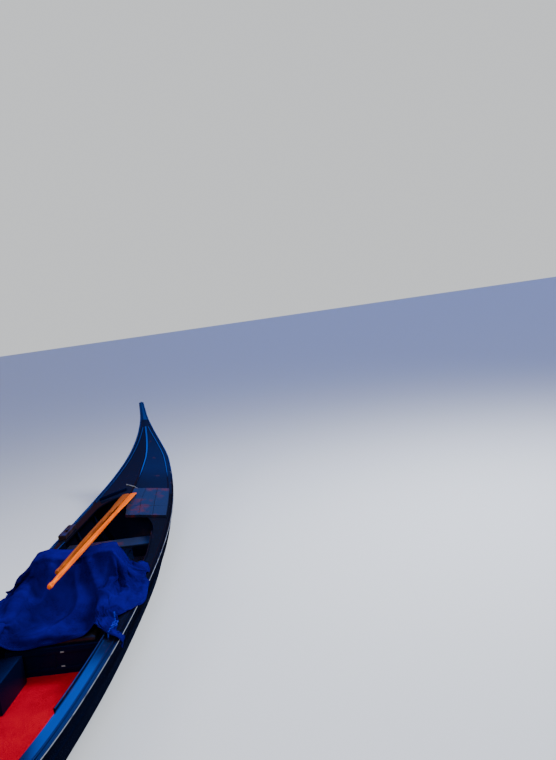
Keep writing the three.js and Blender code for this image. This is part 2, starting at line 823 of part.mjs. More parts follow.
function coverRing([station, ...heights]) {
  const hull = hullAt(station);
  const tent = station > tentRows.from && station < tentRows.to;
  const side = (hand) => {
    const well = wellHalf(station, hand > 0 ? 'port' : 'starboard');
    const onCoaming = deckTop(hull, well) + coamingAbove + coverThick + 3 * ease;
    return [
      [hand * coverEdge, deckTop(hull, coverEdge) + coverThick + 2 * ease],
      [hand * (well + 8), tent ? tentRows.outer : onCoaming],
      [hand * (well - coamingThick - 6), tent ? tentRows.inner : onCoaming],
    ];
  };
  const middle = coverAcross.map((y, k) => [y, heights[k]]);
  const line = [...side(1), ...middle, ...side(-1).reverse()];
  const top = line.map(([y, z]) => [hull.x, hull.y + y, z]);
  const under = line.map(([y, z]) => [hull.x, hull.y + y, z - coverThick]).reverse();
  return [...top, ...under];
}

add('cover', loft([...coverRows, coverHem].map(coverRing)), 'blueCover');

// Oars: share of the length from the blade's tip, half width and half thickness

const oarRows = [
  [0, 40, 5],
  [0.014, 46, 6],
  [0.17, 42, 8],
  [0.28, 30, 13],
  [0.35, 24, 20],
  [0.65, 24, 24],
  [0.93, 20, 20],
  [0.96, 17, 17],
  [1, 18, 18],
];
const oarSides = 10;
function oar(tip, end) {
  const from = new THREE.Vector3(...tip);
  const along = new THREE.Vector3(...end).sub(from);
  const across = new THREE.Vector3(0, 0, 1).cross(along).normalize();
  const up = along.clone().cross(across).normalize();
  const rings = oarRows.map(([share, halfWidth, halfThick]) =>
    Array.from({ length: oarSides }, (_, i) => {
      const angle = (2 * Math.PI * i) / oarSides;
      return from
        .clone()
        .addScaledVector(along, share)
        .addScaledVector(across, halfWidth * Math.cos(angle))
        .addScaledVector(up, halfThick * Math.sin(angle))
        .toArray();
    }),
  );
  return loft(rings);
}
const sternX = -overallLength / 2;
add('oar_1', oar([sternX + 2639.3, 168, 811], [sternX + 6354.6, 401.2, 1089.7]), 'varnishedOar');
add('oar_2', oar([sternX + 2531.9, 41.1, 784.8], [sternX + 5924.6, 311.2, 1048.9]), 'varnishedOar');

export default gondola;
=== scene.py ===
import json
import math
from types import SimpleNamespace

import bmesh
import bpy
import numpy as np
from mathutils import Matrix, Vector, noise
from mathutils.bvhtree import BVHTree
from mathutils.geometry import tessellate_polygon

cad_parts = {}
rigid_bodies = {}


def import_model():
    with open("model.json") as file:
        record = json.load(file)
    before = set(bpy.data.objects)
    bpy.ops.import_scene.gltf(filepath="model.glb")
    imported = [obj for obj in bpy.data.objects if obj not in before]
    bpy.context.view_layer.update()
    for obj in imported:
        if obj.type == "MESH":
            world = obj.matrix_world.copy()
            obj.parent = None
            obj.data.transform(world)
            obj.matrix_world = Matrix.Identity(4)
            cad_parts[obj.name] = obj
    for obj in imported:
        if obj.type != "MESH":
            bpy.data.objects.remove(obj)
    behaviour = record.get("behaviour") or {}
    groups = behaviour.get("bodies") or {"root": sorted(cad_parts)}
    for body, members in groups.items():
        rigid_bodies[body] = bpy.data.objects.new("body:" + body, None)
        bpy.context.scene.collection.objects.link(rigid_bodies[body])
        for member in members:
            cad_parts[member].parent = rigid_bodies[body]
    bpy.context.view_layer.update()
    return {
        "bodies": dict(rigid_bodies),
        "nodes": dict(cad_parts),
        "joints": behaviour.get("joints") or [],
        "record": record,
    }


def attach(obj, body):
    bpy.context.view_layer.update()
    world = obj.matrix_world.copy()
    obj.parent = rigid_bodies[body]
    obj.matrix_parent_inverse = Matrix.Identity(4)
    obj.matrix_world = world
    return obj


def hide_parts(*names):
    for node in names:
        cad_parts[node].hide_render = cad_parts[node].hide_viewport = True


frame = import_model()
nodes = frame["nodes"]
print("frame loaded,", len(nodes), "nodes")

# Boat lines, in metres. Stations are measured forward from the stern tip.

boat = {
    "length": 10.870,
    "bulge": 0.156,  # the curved centreline stands this far to port amidships
    "sternLean": 0.187,
    "sternLeanFrom": 1.300,
    "leanPower": 1.6,
    "belly": 0.022,
    "fullBellyAt": 0.200,
    "plank": 0.020,
    "deckThick": 0.018,
    "ridgeShare": 0.13,
    "ridgePower": 1.2,
    "gap": 0.0003,
    "sternPostEnd": 0.300,
    "stemStart": 10.400,
    "stemHead": 10.620,
    "bottomAft": 0.900,
    "bottomFore": 10.150,
    "sternDeckEnd": 2.550,
    "foredeckStart": 8.350,
    "waterline": 0.170,
    "floorTop": 0.150,
}
# station, half breadth at the sheer, half breadth at the chine, bottom height, sheer height
hullLines = np.array([
    (0.000, 0.012, 0.009, 1.490, 1.590),
    (0.250, 0.038, 0.016, 1.100, 1.377),
    (0.500, 0.099, 0.024, 0.860, 1.211),
    (0.800, 0.185, 0.044, 0.645, 1.065),
    (1.200, 0.291, 0.092, 0.432, 0.928),
    (1.700, 0.394, 0.168, 0.262, 0.808),
    (2.300, 0.491, 0.255, 0.140, 0.722),
    (3.000, 0.574, 0.340, 0.050, 0.661),
    (4.000, 0.652, 0.415, 0.000, 0.607),
    (5.200, 0.678, 0.448, 0.000, 0.560),
    (6.500, 0.681, 0.445, 0.000, 0.548),
    (7.800, 0.618, 0.375, 0.012, 0.556),
    (8.600, 0.535, 0.290, 0.080, 0.620),
    (9.300, 0.410, 0.190, 0.205, 0.730),
    (9.900, 0.265, 0.095, 0.395, 0.870),
    (10.300, 0.145, 0.038, 0.610, 0.995),
    (10.620, 0.040, 0.016, 0.880, 1.105),
])


def clamp(value):
    return min(1.0, max(0.0, value))


def smooth(value):
    t = clamp(value)
    return t * t * (3 - 2 * t)


def lineValues(station):  # a cubic through the rows, with slopes from the rows beside
    marks, rows = hullLines[:, 0], hullLines[:, 1:]
    k = int(np.clip(np.searchsorted(marks, station, side="right"), 1, len(marks) - 1))
    t0, t1 = marks[k - 1], marks[k]
    before, beforeAt = (k - 2, marks[k - 2]) if k > 1 else (k, t1)
    after, afterAt = (k + 1, marks[k + 1]) if k + 1 < len(marks) else (k - 1, t0)
    w0 = (t1 - t0) / 2 / (t0 - beforeAt)
    w1 = (t1 - t0) / 2 / (afterAt - t1)
    p = clamp((station - t0) / (t1 - t0))
    p2, p3 = p * p, p * p * p
    weights = (
        (before, -w0 * p3 + 2 * w0 * p2 - w0 * p),
        (k - 1, (1 + w0) * p3 - (1.5 + 2 * w0) * p2 + (w0 - 0.5) * p + 1),
        (k, -(1 + w1) * p3 + (1.5 + w1) * p2 + 0.5 * p),
        (after, w1 * p3 - w1 * p2),
    )
    return sum(weight * rows[row] for row, weight in weights)


def hullAt(station):
    sheerHalf, chineHalf, bottomZ, sheerZ = lineValues(station)
    lean = max(0.0, 1 - station / boat["sternLeanFrom"]) ** boat["leanPower"]
    y = boat["bulge"] * math.sin(math.pi * station / boat["length"]) - boat["sternLean"] * lean
    return SimpleNamespace(
        station=station,
        x=station - boat["length"] / 2,
        y=y,
        sheerHalf=sheerHalf,
        chineHalf=chineHalf,
        bottomZ=max(0.0, bottomZ),
        sheerZ=sheerZ,
    )


def outerHalf(hull, z):
    rise = clamp((z - hull.bottomZ) / (hull.sheerZ - hull.bottomZ))
    belly = boat["belly"] * min(1.0, hull.chineHalf / boat["fullBellyAt"])
    return hull.chineHalf + (hull.sheerHalf - hull.chineHalf) * rise + belly * (1 - (2 * rise - 1) ** 4)


def innerHalf(hull, z):
    return max(boat["gap"], outerHalf(hull, z) - boat["plank"])


def deckTop(hull, across):
    share = clamp(abs(across) / hull.sheerHalf)
    crown = boat["ridgeShare"] * hull.sheerHalf * (1 - share ** boat["ridgePower"])
    return hull.sheerZ + boat["gap"] + boat["deckThick"] + crown


well = {
    "inset": 0.060,  # half breadth where a rounded end meets the deck
    "roundings": {"port": (3.150, 0.700), "starboard": (2.550, 0.300)},
    "bowRounding": 0.450,
    "deckWidths": (  # station and the side deck's width there
        (2.55, 0.175), (3.85, 0.142), (4.50, 0.100), (6.70, 0.102), (7.90, 0.106), (8.35, 0.110),
    ),
}


def wellHalf(station, side):
    marks, widths = zip(*well["deckWidths"])
    full = hullAt(station).sheerHalf - np.interp(station, marks, widths)
    start, length = well["roundings"][side]
    ahead = clamp((station - start) / length)
    astern = clamp((boat["foredeckStart"] - station) / well["bowRounding"])
    round1, round2 = (math.sqrt(1 - (1 - t) ** 2) for t in (ahead, astern))
    return well["inset"] + (full - well["inset"]) * round1 * round2


hands = {"port": 1, "starboard": -1}


def stations(start, end, step=0.05):
    return np.linspace(start, end, max(2, round((end - start) / step) + 1))


def at(hull, across, z):
    return (hull.x, hull.y + across, z)


# Making meshes


def newPiece(name, points, faces=(), edges=()):
    mesh = bpy.data.meshes.new(name)
    mesh.from_pydata([tuple(p) for p in points], edges, faces)
    piece = bpy.data.objects.new(name, mesh)
    bpy.context.scene.collection.objects.link(piece)
    return piece


def outwards(piece, sharpAngle=38):
    shape = bmesh.new()
    shape.from_mesh(piece.data)
    bmesh.ops.recalc_face_normals(shape, faces=shape.faces)
    shape.to_mesh(piece.data)
    shape.free()
    piece.data.shade_smooth()
    piece.data.set_sharp_from_angle(angle=math.radians(sharpAngle))
    return piece


def loftData(rings, first=0):
    count = len(rings[0])
    faces = []
    for r in range(len(rings) - 1):
        for k in range(count):
            a = first + r * count + k
            b = first + r * count + (k + 1) % count
            faces.append((a, b, b + count, a + count))
    last = first + (len(rings) - 1) * count
    faces.append(tuple(reversed(range(first, first + count))))
    faces.append(tuple(range(last, last + count)))
    return [point for ring in rings for point in ring], faces


def loft(name, *bodies):  # each body is a list of closed rings, all with the same count
    points, faces = [], []
    for rings in bodies:
        morePoints, moreFaces = loftData(rings, len(points))
        points += morePoints
        faces += moreFaces
    return outwards(newPiece(name, points, faces))


def gridFaces(rows, columns, first=0, upward=True):  # the squares between rows of points
    faces = []
    for i in range(rows):
        for j in range(columns):
            a = first + i * (columns + 1) + j
            square = (a, a + columns + 1, a + columns + 2, a + 1)
            faces.append(square if upward else (a, *square[:0:-1]))
    return faces


def rimCells(low, lastRow, lastColumn):  # once round a grid's edge, from its first corner
    rows, columns = range(low, lastRow), range(low, lastColumn)
    cells = [(i, low) for i in rows] + [(lastRow, j) for j in columns]
    return cells + [(i + 1, lastColumn) for i in reversed(rows)] + [(low, j + 1) for j in reversed(columns)]


def rimFaces(rows, columns, first, rise):  # the squares from a grid's edge to that of the grid after it
    edge = [first + i * (columns + 1) + j for i, j in rimCells(0, rows, columns)]
    return [(a, b, b + rise, a + rise) for a, b in zip(edge, edge[1:] + edge[:1])]


def plainMesh(piece, name=None):  # a piece with its modifiers made part of its mesh
    bpy.context.view_layer.update()
    graph = bpy.context.evaluated_depsgraph_get()
    mesh = bpy.data.meshes.new_from_object(piece.evaluated_get(graph))
    wanted = name or piece.name
    made = bpy.data.objects.new(wanted, mesh)
    bpy.context.scene.collection.objects.link(made)
    bpy.data.objects.remove(piece)
    made.name = wanted
    return made


def softenEdges(piece, width, segments=2, angle=30):
    bevel = piece.modifiers.new("edges", "BEVEL")
    bevel.width = width
    bevel.segments = segments
    bevel.limit_method = "ANGLE"
    bevel.angle_limit = math.radians(angle)
    made = plainMesh(piece)
    made.data.shade_smooth()
    made.data.set_sharp_from_angle(angle=math.radians(45))
    return made


def fromNode(node, name, width=0.004, segments=2):  # the node's own solid, with its edges eased
    shape = bmesh.new()
    shape.from_mesh(nodes[node].data)
    bmesh.ops.remove_doubles(shape, verts=shape.verts, dist=1e-5)
    bmesh.ops.dissolve_limit(shape, angle_limit=math.radians(1), verts=shape.verts, edges=shape.edges)
    piece = newPiece(name, [])
    shape.to_mesh(piece.data)
    shape.free()
    return softenEdges(piece, width, segments)


def runFrames(piece, count):
    scene = bpy.context.scene
    cloth = piece.modifiers["cloth"]
    cloth.point_cache.frame_start, cloth.point_cache.frame_end = 1, count
    scene.frame_start, scene.frame_end = 1, count
    for step in range(1, count + 1):
        scene.frame_set(step)
    made = plainMesh(piece)
    scene.frame_set(1)
    return made


# Node trees, for Geometry Nodes and for shaders


def feed(tree, socket, value):
    if isinstance(value, bpy.types.NodeSocket):
        tree.links.new(value, socket)
    else:
        socket.default_value = value


def addNode(tree, kind, inputs=(), output=0, **settings):  # a node with its inputs fed, as the socket that it gives
    made = tree.nodes.new(kind)
    for name, value in settings.items():
        setattr(made, name, value)
    for socket, value in dict(inputs).items():
        feed(tree, made.inputs[socket], value)
    return made.outputs[output]


def newGroup(name, kind, outputs, **inputs):  # an input is given by its value, or by its kind where it has none
    tree = bpy.data.node_groups.new(name, kind)
    for label, value in inputs.items():
        plain = "NodeSocketFloat" if isinstance(value, float) else "NodeSocketColor"
        socket = tree.interface.new_socket(
            label, in_out="INPUT", socket_type=value if isinstance(value, str) else plain)
        if not isinstance(value, str):
            socket.default_value = value
    for label, socketKind in outputs.items():
        tree.interface.new_socket(label, in_out="OUTPUT", socket_type=socketKind)
    return tree, tree.nodes.new("NodeGroupInput").outputs, tree.nodes.new("NodeGroupOutput").inputs


def giveOut(tree, out, **values):
    for label, value in values.items():
        tree.links.new(value, out[label])
    return tree


def lineTree(name, **inputs):
    return newGroup(name, "GeometryNodeTree", {"Shape": "NodeSocketGeometry"},
                    Line="NodeSocketGeometry", Material="NodeSocketMaterial", **inputs)


def finishTree(tree, given, out, shape):
    real = addNode(tree, "GeometryNodeRealizeInstances", {0: shape})
    return giveOut(tree, out, Shape=addNode(
        tree, "GeometryNodeSetMaterial", {"Geometry": real, "Material": given["Material"]}))


def makeMouldingTree():  # a rounded strip along a line
    tree, given, out = lineTree("mouldingAlongLine", Width=0.02, Height=0.01, Rounding=0.004)
    curve = addNode(tree, "GeometryNodeMeshToCurve", {"Mesh": given["Line"]})
    upright = addNode(tree, "GeometryNodeSetCurveNormal", {"Curve": curve}, mode="Z_UP")
    outline = addNode(tree, "GeometryNodeCurvePrimitiveQuadrilateral",
                      {"Width": given["Width"], "Height": given["Height"]})
    rounded = addNode(tree, "GeometryNodeFilletCurve",
                      {"Curve": outline, "Radius": given["Rounding"], "Count": 4}, mode="POLY")
    strip = addNode(tree, "GeometryNodeCurveToMesh", {"Curve": upright, "Profile Curve": rounded, "Fill Caps": True})
    return finishTree(tree, given, out, addNode(tree, "GeometryNodeSetShadeSmooth", {"Geometry": strip}))


def makeStitchTree():  # short threads laid end to end along a line
    tree, given, out = lineTree("stitchesAlongLine", Spacing=0.012, Length=0.008, Thread=0.0012)
    curve = addNode(tree, "GeometryNodeMeshToCurve", {"Mesh": given["Line"]})
    steps = addNode(tree, "GeometryNodeResampleCurve", {"Curve": curve, "Length": given["Spacing"]}, mode="LENGTH")
    tangent = addNode(tree, "GeometryNodeInputTangent")
    turn = addNode(tree, "FunctionNodeAlignRotationToVector", {"Vector": tangent}, axis="Z")
    thread = addNode(tree, "GeometryNodeMeshCylinder",
                     {"Vertices": 6, "Radius": given["Thread"], "Depth": given["Length"]})
    smooth = addNode(tree, "GeometryNodeSetShadeSmooth", {"Geometry": thread})
    placed = addNode(tree, "GeometryNodeInstanceOnPoints", {"Points": steps, "Instance": smooth, "Rotation": turn})
    return finishTree(tree, given, out, placed)


trees = {"moulding": makeMouldingTree(), "stitches": makeStitchTree()}


def alongLines(name, tree, lines, **values):  # lines are lists of points
    points, edges = [], []
    for line in lines:
        first = len(points)
        points += list(line)
        edges += [(first + k, first + k + 1) for k in range(len(line) - 1)]
    piece = newPiece(name + "Line", points, edges=edges)
    modifier = piece.modifiers.new("nodes", "NODES")
    modifier.node_group = trees[tree]
    for item in trees[tree].interface.items_tree:
        if item.in_out == "INPUT" and item.name in values:
            modifier[item.identifier] = values[item.name]
    return plainMesh(piece, name)


print("node trees ready")

# Shader groups, each used by several finishes


def colourNoise(tree, vector, scale, detail=4, rough=0.55):
    return addNode(tree, "ShaderNodeTexNoise", {"Vector": vector, "Scale": scale, "Detail": detail, "Roughness": rough})


def bands(tree, direction, vector, scale, distortion, detail, detailScale=1.0):
    return addNode(
        tree, "ShaderNodeTexWave",
        {"Vector": vector, "Scale": scale, "Distortion": distortion, "Detail": detail, "Detail Scale": detailScale},
        output="Fac", wave_type="BANDS", bands_direction=direction)


def spread(tree, value, low, high, toLow=0.0, toHigh=1.0):
    return addNode(tree, "ShaderNodeMapRange",
                   {"Value": value, "From Min": low, "From Max": high, "To Min": toLow, "To Max": toHigh})


def blended(tree, share, first, second):
    return addNode(tree, "ShaderNodeMix", {0: share, 6: first, 7: second}, output=2, data_type="RGBA")


def sums(tree, kind, first, second):
    return addNode(tree, "ShaderNodeMath", {0: first, 1: second}, operation=kind)


def times(tree, first, second):
    return sums(tree, "MULTIPLY", first, second)


def plus(tree, first, second):
    return sums(tree, "ADD", first, second)


def stretched(tree, vector, scale):
    return addNode(tree, "ShaderNodeMapping", {"Vector": vector, "Scale": scale})


def facingUp(tree):
    normal = addNode(tree, "ShaderNodeNewGeometry", output="Normal")
    return addNode(tree, "ShaderNodeSeparateXYZ", {0: normal}, output="Z")


def surfaceGroup(name, **inputs):
    outputs = {"Color": "NodeSocketColor", "Roughness": "NodeSocketFloat", "Height": "NodeSocketFloat"}
    return newGroup(name, "ShaderNodeTree", outputs, Vector="NodeSocketVector", **inputs)


def makePaintGroup():  # brushed paint with rubbed patches, fine scratches and settled dust on up-facing faces; two finishes tint that dust blue as painted sky sheen
    tree, given, out = surfaceGroup(
        "wornPaint", Paint=(0.01, 0.01, 0.01, 1), Rubbed=(0.1, 0.05, 0.04, 1), Dust=(0.2, 0.19, 0.18, 1),
        Rubbing=0.2, Dustiness=0.1, Scale=3.0, Shine=0.15, Dullness=0.5)
    patches = colourNoise(tree, given["Vector"], given["Scale"], 5)
    specks = colourNoise(tree, given["Vector"], times(tree, given["Scale"], 11.0), 6, 0.7)
    brush = colourNoise(tree, stretched(tree, given["Vector"], (1.5, 60, 60)), 4.0, 3)
    scratches = colourNoise(tree, stretched(tree, given["Vector"], (3, 70, 30)), 3.0, 6, 0.75)
    rubFrom = spread(tree, given["Rubbing"], 0.0, 1.0, 0.74, 0.36)
    rubbed = times(tree, spread(tree, patches, rubFrom, plus(tree, rubFrom, 0.09)), spread(tree, specks, 0.38, 0.56))
    scratched = spread(tree, scratches, 0.66, 0.72, 0.0, 0.55)
    worn = sums(tree, "MAXIMUM", rubbed, times(tree, scratched, given["Rubbing"]))
    # dust on up-facing faces; in the stern deck and platform finishes it is painted sky reflection on their tops
    upDustAndSheen = times(tree, spread(tree, facingUp(tree), 0.35, 0.95), spread(tree, specks, 0.3, 0.7, 0.35, 1.0))
    dustAndSheen = times(tree, upDustAndSheen, given["Dustiness"])
    colour = blended(tree, worn, given["Paint"], given["Rubbed"])
    dulled = plus(tree, times(tree, worn, 0.7), spread(tree, patches, 0.35, 0.75, 0.0, 0.35))
    rough = plus(tree, dulled, times(tree, dustAndSheen, 0.6))
    return giveOut(
        tree, out, Color=blended(tree, dustAndSheen, colour, given["Dust"]),
        Roughness=spread(tree, rough, 0.0, 1.0, given["Shine"], given["Dullness"]),
        Height=sums(tree, "SUBTRACT", times(tree, brush, 0.35), times(tree, worn, 0.6)))


def makeGrainGroup():  # wood grain that runs along the first coordinate
    tree, given, out = surfaceGroup(
        "woodGrain", Light=(0.6, 0.3, 0.1, 1), Dark=(0.3, 0.1, 0.03, 1), Scale=20.0, Shine=0.2, Dullness=0.45)
    rings = bands(tree, "Y", stretched(tree, given["Vector"], (0.06, 1, 1)), given["Scale"], 5.0, 3.0, 1.5)
    pores = colourNoise(tree, stretched(tree, given["Vector"], (0.02, 1, 1)), times(tree, given["Scale"], 9.0), 5, 0.6)
    cloudy = colourNoise(tree, stretched(tree, given["Vector"], (0.15, 1, 1)), 6.0, 4)
    grain = plus(tree, times(tree, rings, 0.45), plus(tree, times(tree, pores, 0.35), times(tree, cloudy, 0.45)))
    return giveOut(
        tree, out, Color=blended(tree, spread(tree, grain, 0.3, 0.95), given["Light"], given["Dark"]),
        Roughness=spread(tree, cloudy, 0.3, 0.7, given["Shine"], given["Dullness"]), Height=times(tree, pores, 0.5))


def makeWeaveGroup():  # crossed threads over faded and dusty patches
    tree, given, out = surfaceGroup(
        "clothWeave", Dyed=(0.01, 0.02, 0.3, 1), Faded=(0.03, 0.05, 0.4, 1), Soiled=(0.02, 0.02, 0.1, 1),
        Threads=300.0, Patches=3.0, Shine=0.6, Dullness=0.9)
    weave = sums(tree, "MAXIMUM", *[
        bands(tree, direction, given["Vector"], given["Threads"], 0.6, 1.0) for direction in "XY"])
    large = colourNoise(tree, given["Vector"], given["Patches"], 5, 0.6)
    small = colourNoise(tree, given["Vector"], times(tree, given["Patches"], 17.0), 4, 0.6)
    colour = blended(tree, spread(tree, large, 0.42, 0.68), given["Dyed"], given["Faded"])
    soil = times(tree, spread(tree, small, 0.5, 0.72), spread(tree, large, 0.55, 0.35))
    return giveOut(
        tree, out, Color=blended(tree, soil, colour, given["Soiled"]),
        Roughness=spread(tree, small, 0.3, 0.7, given["Shine"], given["Dullness"]),
        Height=plus(tree, weave, times(tree, small, 0.8)))


groups = {"paint": makePaintGroup(), "grain": makeGrainGroup(), "weave": makeWeaveGroup()}


def finish(name, group, coordinates="Object", bump=0.1, bumpDistance=0.001, specular=0.5, metallic=0.0, **values):
    made = bpy.data.materials.new(name)
    made.use_nodes = True
    tree = made.node_tree
    surface = tree.nodes["Principled BSDF"].inputs
    use = tree.nodes.new("ShaderNodeGroup")
    use.node_tree = groups[group]
    feed(tree, use.inputs["Vector"], addNode(tree, "ShaderNodeTexCoord", output=coordinates))
    for label, value in values.items():
        use.inputs[label].default_value = (*value, 1) if isinstance(value, tuple) else value
    lift = {"Strength": bump, "Distance": bumpDistance, "Height": use.outputs["Height"]}
    feed(tree, surface["Specular IOR Level"], specular)
    feed(tree, surface["Metallic"], metallic)
    feed(tree, surface["Base Color"], use.outputs["Color"])
    feed(tree, surface["Roughness"], use.outputs["Roughness"])
    feed(tree, surface["Normal"], addNode(tree, "ShaderNodeBump", lift))
    return made


finishes = {
    "hull": finish(
        "blackHullPaint", "paint", bump=0.10, Paint=(0.0012, 0.0014, 0.0050), Rubbed=(0.03, 0.026, 0.026),
        Dust=(0.03, 0.03, 0.035), Rubbing=0.12, Dustiness=0.05, Scale=2.2, Shine=0.10, Dullness=0.40, specular=0.35),
    "deck": finish(
        "blackDeckPaint", "paint", bump=0.10, Paint=(0.0018, 0.0022, 0.0080), Rubbed=(0.060, 0.012, 0.018),
        Dust=(0.02, 0.022, 0.04), Rubbing=0.30, Dustiness=0.12, Scale=3.5, Shine=0.05, Dullness=0.20, specular=0.5),
    # stern deck: its navy paint and blue dust are painted sky reflection, with the paint's own reflection nearly off;
    # the rubbed patches are wear
    "sternDeck": finish(
        "sternDeckWearAndPaintedSkySheen", "paint", bump=0.12, Paint=(0.003, 0.004, 0.019), Rubbed=(0.035, 0.010, 0.012),
        Dust=(0.010, 0.012, 0.030), Rubbing=0.30, Dustiness=0.25, Scale=3.5, Shine=0.14, Dullness=0.42, specular=0.008),
    # platform and thwarts: navy paint and blue dust on up-facing faces are painted sky reflection; the reddish rubbed
    # patches are scuffs
    "platform": finish(
        "trodPlatformPaintAndSkySheen", "paint", bump=0.25, Paint=(0.007, 0.010, 0.026), Rubbed=(0.075, 0.010, 0.012),
        Dust=(0.024, 0.032, 0.062), Rubbing=0.52, Dustiness=0.35, Scale=3.2, Shine=0.34, Dullness=0.6, specular=0.05),
    "seatPaint": finish(
        "blackSeatPaint", "paint", bump=0.12, Paint=(0.0006, 0.0018, 0.0140), Rubbed=(0.03, 0.014, 0.014),
        Dust=(0.02, 0.022, 0.03), Rubbing=0.15, Dustiness=0.06, Scale=5.0, Shine=0.30, Dullness=0.55, specular=0.08),
    # light grey non-metal paint for metal strips and latches: a painted highlight in place of their glint, with darker
    # rubbed wear
    "paintedGlintEdge": finish(
        "paintedGlintStrip", "paint", bump=0.1, Paint=(0.22, 0.23, 0.25), Rubbed=(0.03, 0.03, 0.035),
        Dust=(0.20, 0.20, 0.20), Rubbing=0.55, Dustiness=0.1, Scale=9.0, Shine=0.3, Dullness=0.6, specular=0.3),
    "inside": finish(
        "dullInsidePaint", "paint", bump=0.25, Paint=(0.002, 0.003, 0.012), Rubbed=(0.022, 0.010, 0.012),
        Dust=(0.020, 0.020, 0.030), Rubbing=0.3, Dustiness=0.10, Scale=4.0, Shine=0.4, Dullness=0.75, specular=0.3),
    "floor": finish(
        "floorBoardPaint", "paint", bump=0.4, Paint=(0.020, 0.010, 0.012), Rubbed=(0.065, 0.032, 0.024),
        Dust=(0.045, 0.036, 0.040), Rubbing=0.45, Dustiness=0.25, Scale=5.0, Shine=0.5, Dullness=0.85),
    "iron": finish(
        "polishedIron", "paint", bump=0.08, Paint=(0.60, 0.61, 0.63), Rubbed=(0.32, 0.30, 0.28),
        Dust=(0.35, 0.34, 0.32), Rubbing=0.25, Dustiness=0.05, Scale=6.0, Shine=0.16, Dullness=0.5, metallic=1.0),
    "leather": finish(
        "blackSeatLeather", "weave", bump=0.5, bumpDistance=0.0006, Dyed=(0.008, 0.007, 0.010),
        Faded=(0.02, 0.018, 0.02), Soiled=(0.03, 0.028, 0.026), Threads=140.0, Patches=9.0,
        Shine=0.35, Dullness=0.6),
    "carpet": finish(
        "redCarpetPile", "weave", coordinates="UV", bump=0.9, bumpDistance=0.002, Dyed=(0.48, 0.0, 0.015),
        Faded=(0.56, 0.0, 0.018), Soiled=(0.28, 0.0, 0.009), Threads=150.0, Patches=4.0,
        Shine=0.85, Dullness=1.0, specular=0.03),
    "cover": finish(
        "blueCoverCloth", "weave", coordinates="UV", bump=0.5, bumpDistance=0.0008, Dyed=(0.0040, 0.0, 0.070),
        Faded=(0.0070, 0.0, 0.140), Soiled=(0.0010, 0.0, 0.018), Threads=260.0, Patches=3.0,
        Shine=0.42, Dullness=0.7, specular=0.0),
    "coverThread": finish(
        "coverThread", "weave", bump=0.2, Dyed=(0.006, 0.008, 0.20), Faded=(0.010, 0.014, 0.28),
        Soiled=(0.004, 0.01, 0.12), Threads=400.0, Patches=20.0, Shine=0.6, Dullness=0.8, specular=0.15),
    "oar": finish(
        "varnishedOarWood", "grain", coordinates="UV", bump=0.15, Light=(1.0, 0.17, 0.001),
        Dark=(0.52, 0.06, 0.001), Scale=26.0, Shine=0.16, Dullness=0.34, specular=0.06),
    # a darker copy of the oar wood, for the second oar
    "darkerOar": finish(
        "darkerOarWood", "grain", coordinates="UV", bump=0.2, Light=(0.34, 0.075, 0.006),
        Dark=(0.12, 0.024, 0.004), Scale=26.0, Shine=0.3, Dullness=0.5, specular=0.06),
    "rowlockWood": finish(
        "darkRowlockWood", "grain", bump=0.3, Light=(0.030, 0.014, 0.010), Dark=(0.008, 0.004, 0.004),
        Scale=30.0, Shine=0.3, Dullness=0.55, specular=0.3),
}
print("finishes ready")


def dress(piece, finishName, slotName, *replaced):
    piece.data.materials.clear()
    piece.data.materials.append(finishes[finishName])
    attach(piece, "root")
    if replaced:
        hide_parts(*replaced)
    return piece


def lay(name, tree, lines, finishName, slotName, sizes, *replaced):
    piece = alongLines(name, tree, lines, Material=finishes[finishName], **sizes)
    return dress(piece, finishName, slotName, *replaced)


# Camera, from the lines of the gunwales in the picture

view = {
    "place": (6.59265, 2.76057, 3.18902),
    "yaw": -0.0602060,
    "pitch": 0.1267424,
    "roll": -0.1457835,
    "focal": 767.856,  # in pixels of a picture 760 high
    "longSide": 760,
    "sensor": 36.0,
}


def addCamera():
    yaw, pitch, roll = view["yaw"], view["pitch"], view["roll"]
    ahead = Vector((-math.cos(yaw) * math.cos(pitch), math.sin(yaw) * math.cos(pitch), -math.sin(pitch)))
    level = ahead.cross(Vector((0, 0, 1))).normalized()
    upright = level.cross(ahead)
    right = level * math.cos(roll) + upright * math.sin(roll)
    up = upright * math.cos(roll) - level * math.sin(roll)
    camera = bpy.data.objects.new("camera", bpy.data.cameras.new("camera"))
    camera.data.sensor_width = view["sensor"]
    camera.data.lens = view["focal"] / view["longSide"] * view["sensor"]
    camera.data.clip_end = 200
    turned = Matrix((right, up, -ahead)).transposed().to_4x4()
    camera.matrix_world = Matrix.Translation(view["place"]) @ turned
    bpy.context.scene.collection.objects.link(camera)
    bpy.context.scene.camera = camera


addCamera()

# Studio: a pale floor at the waterline, with the hull's own outline left out of it

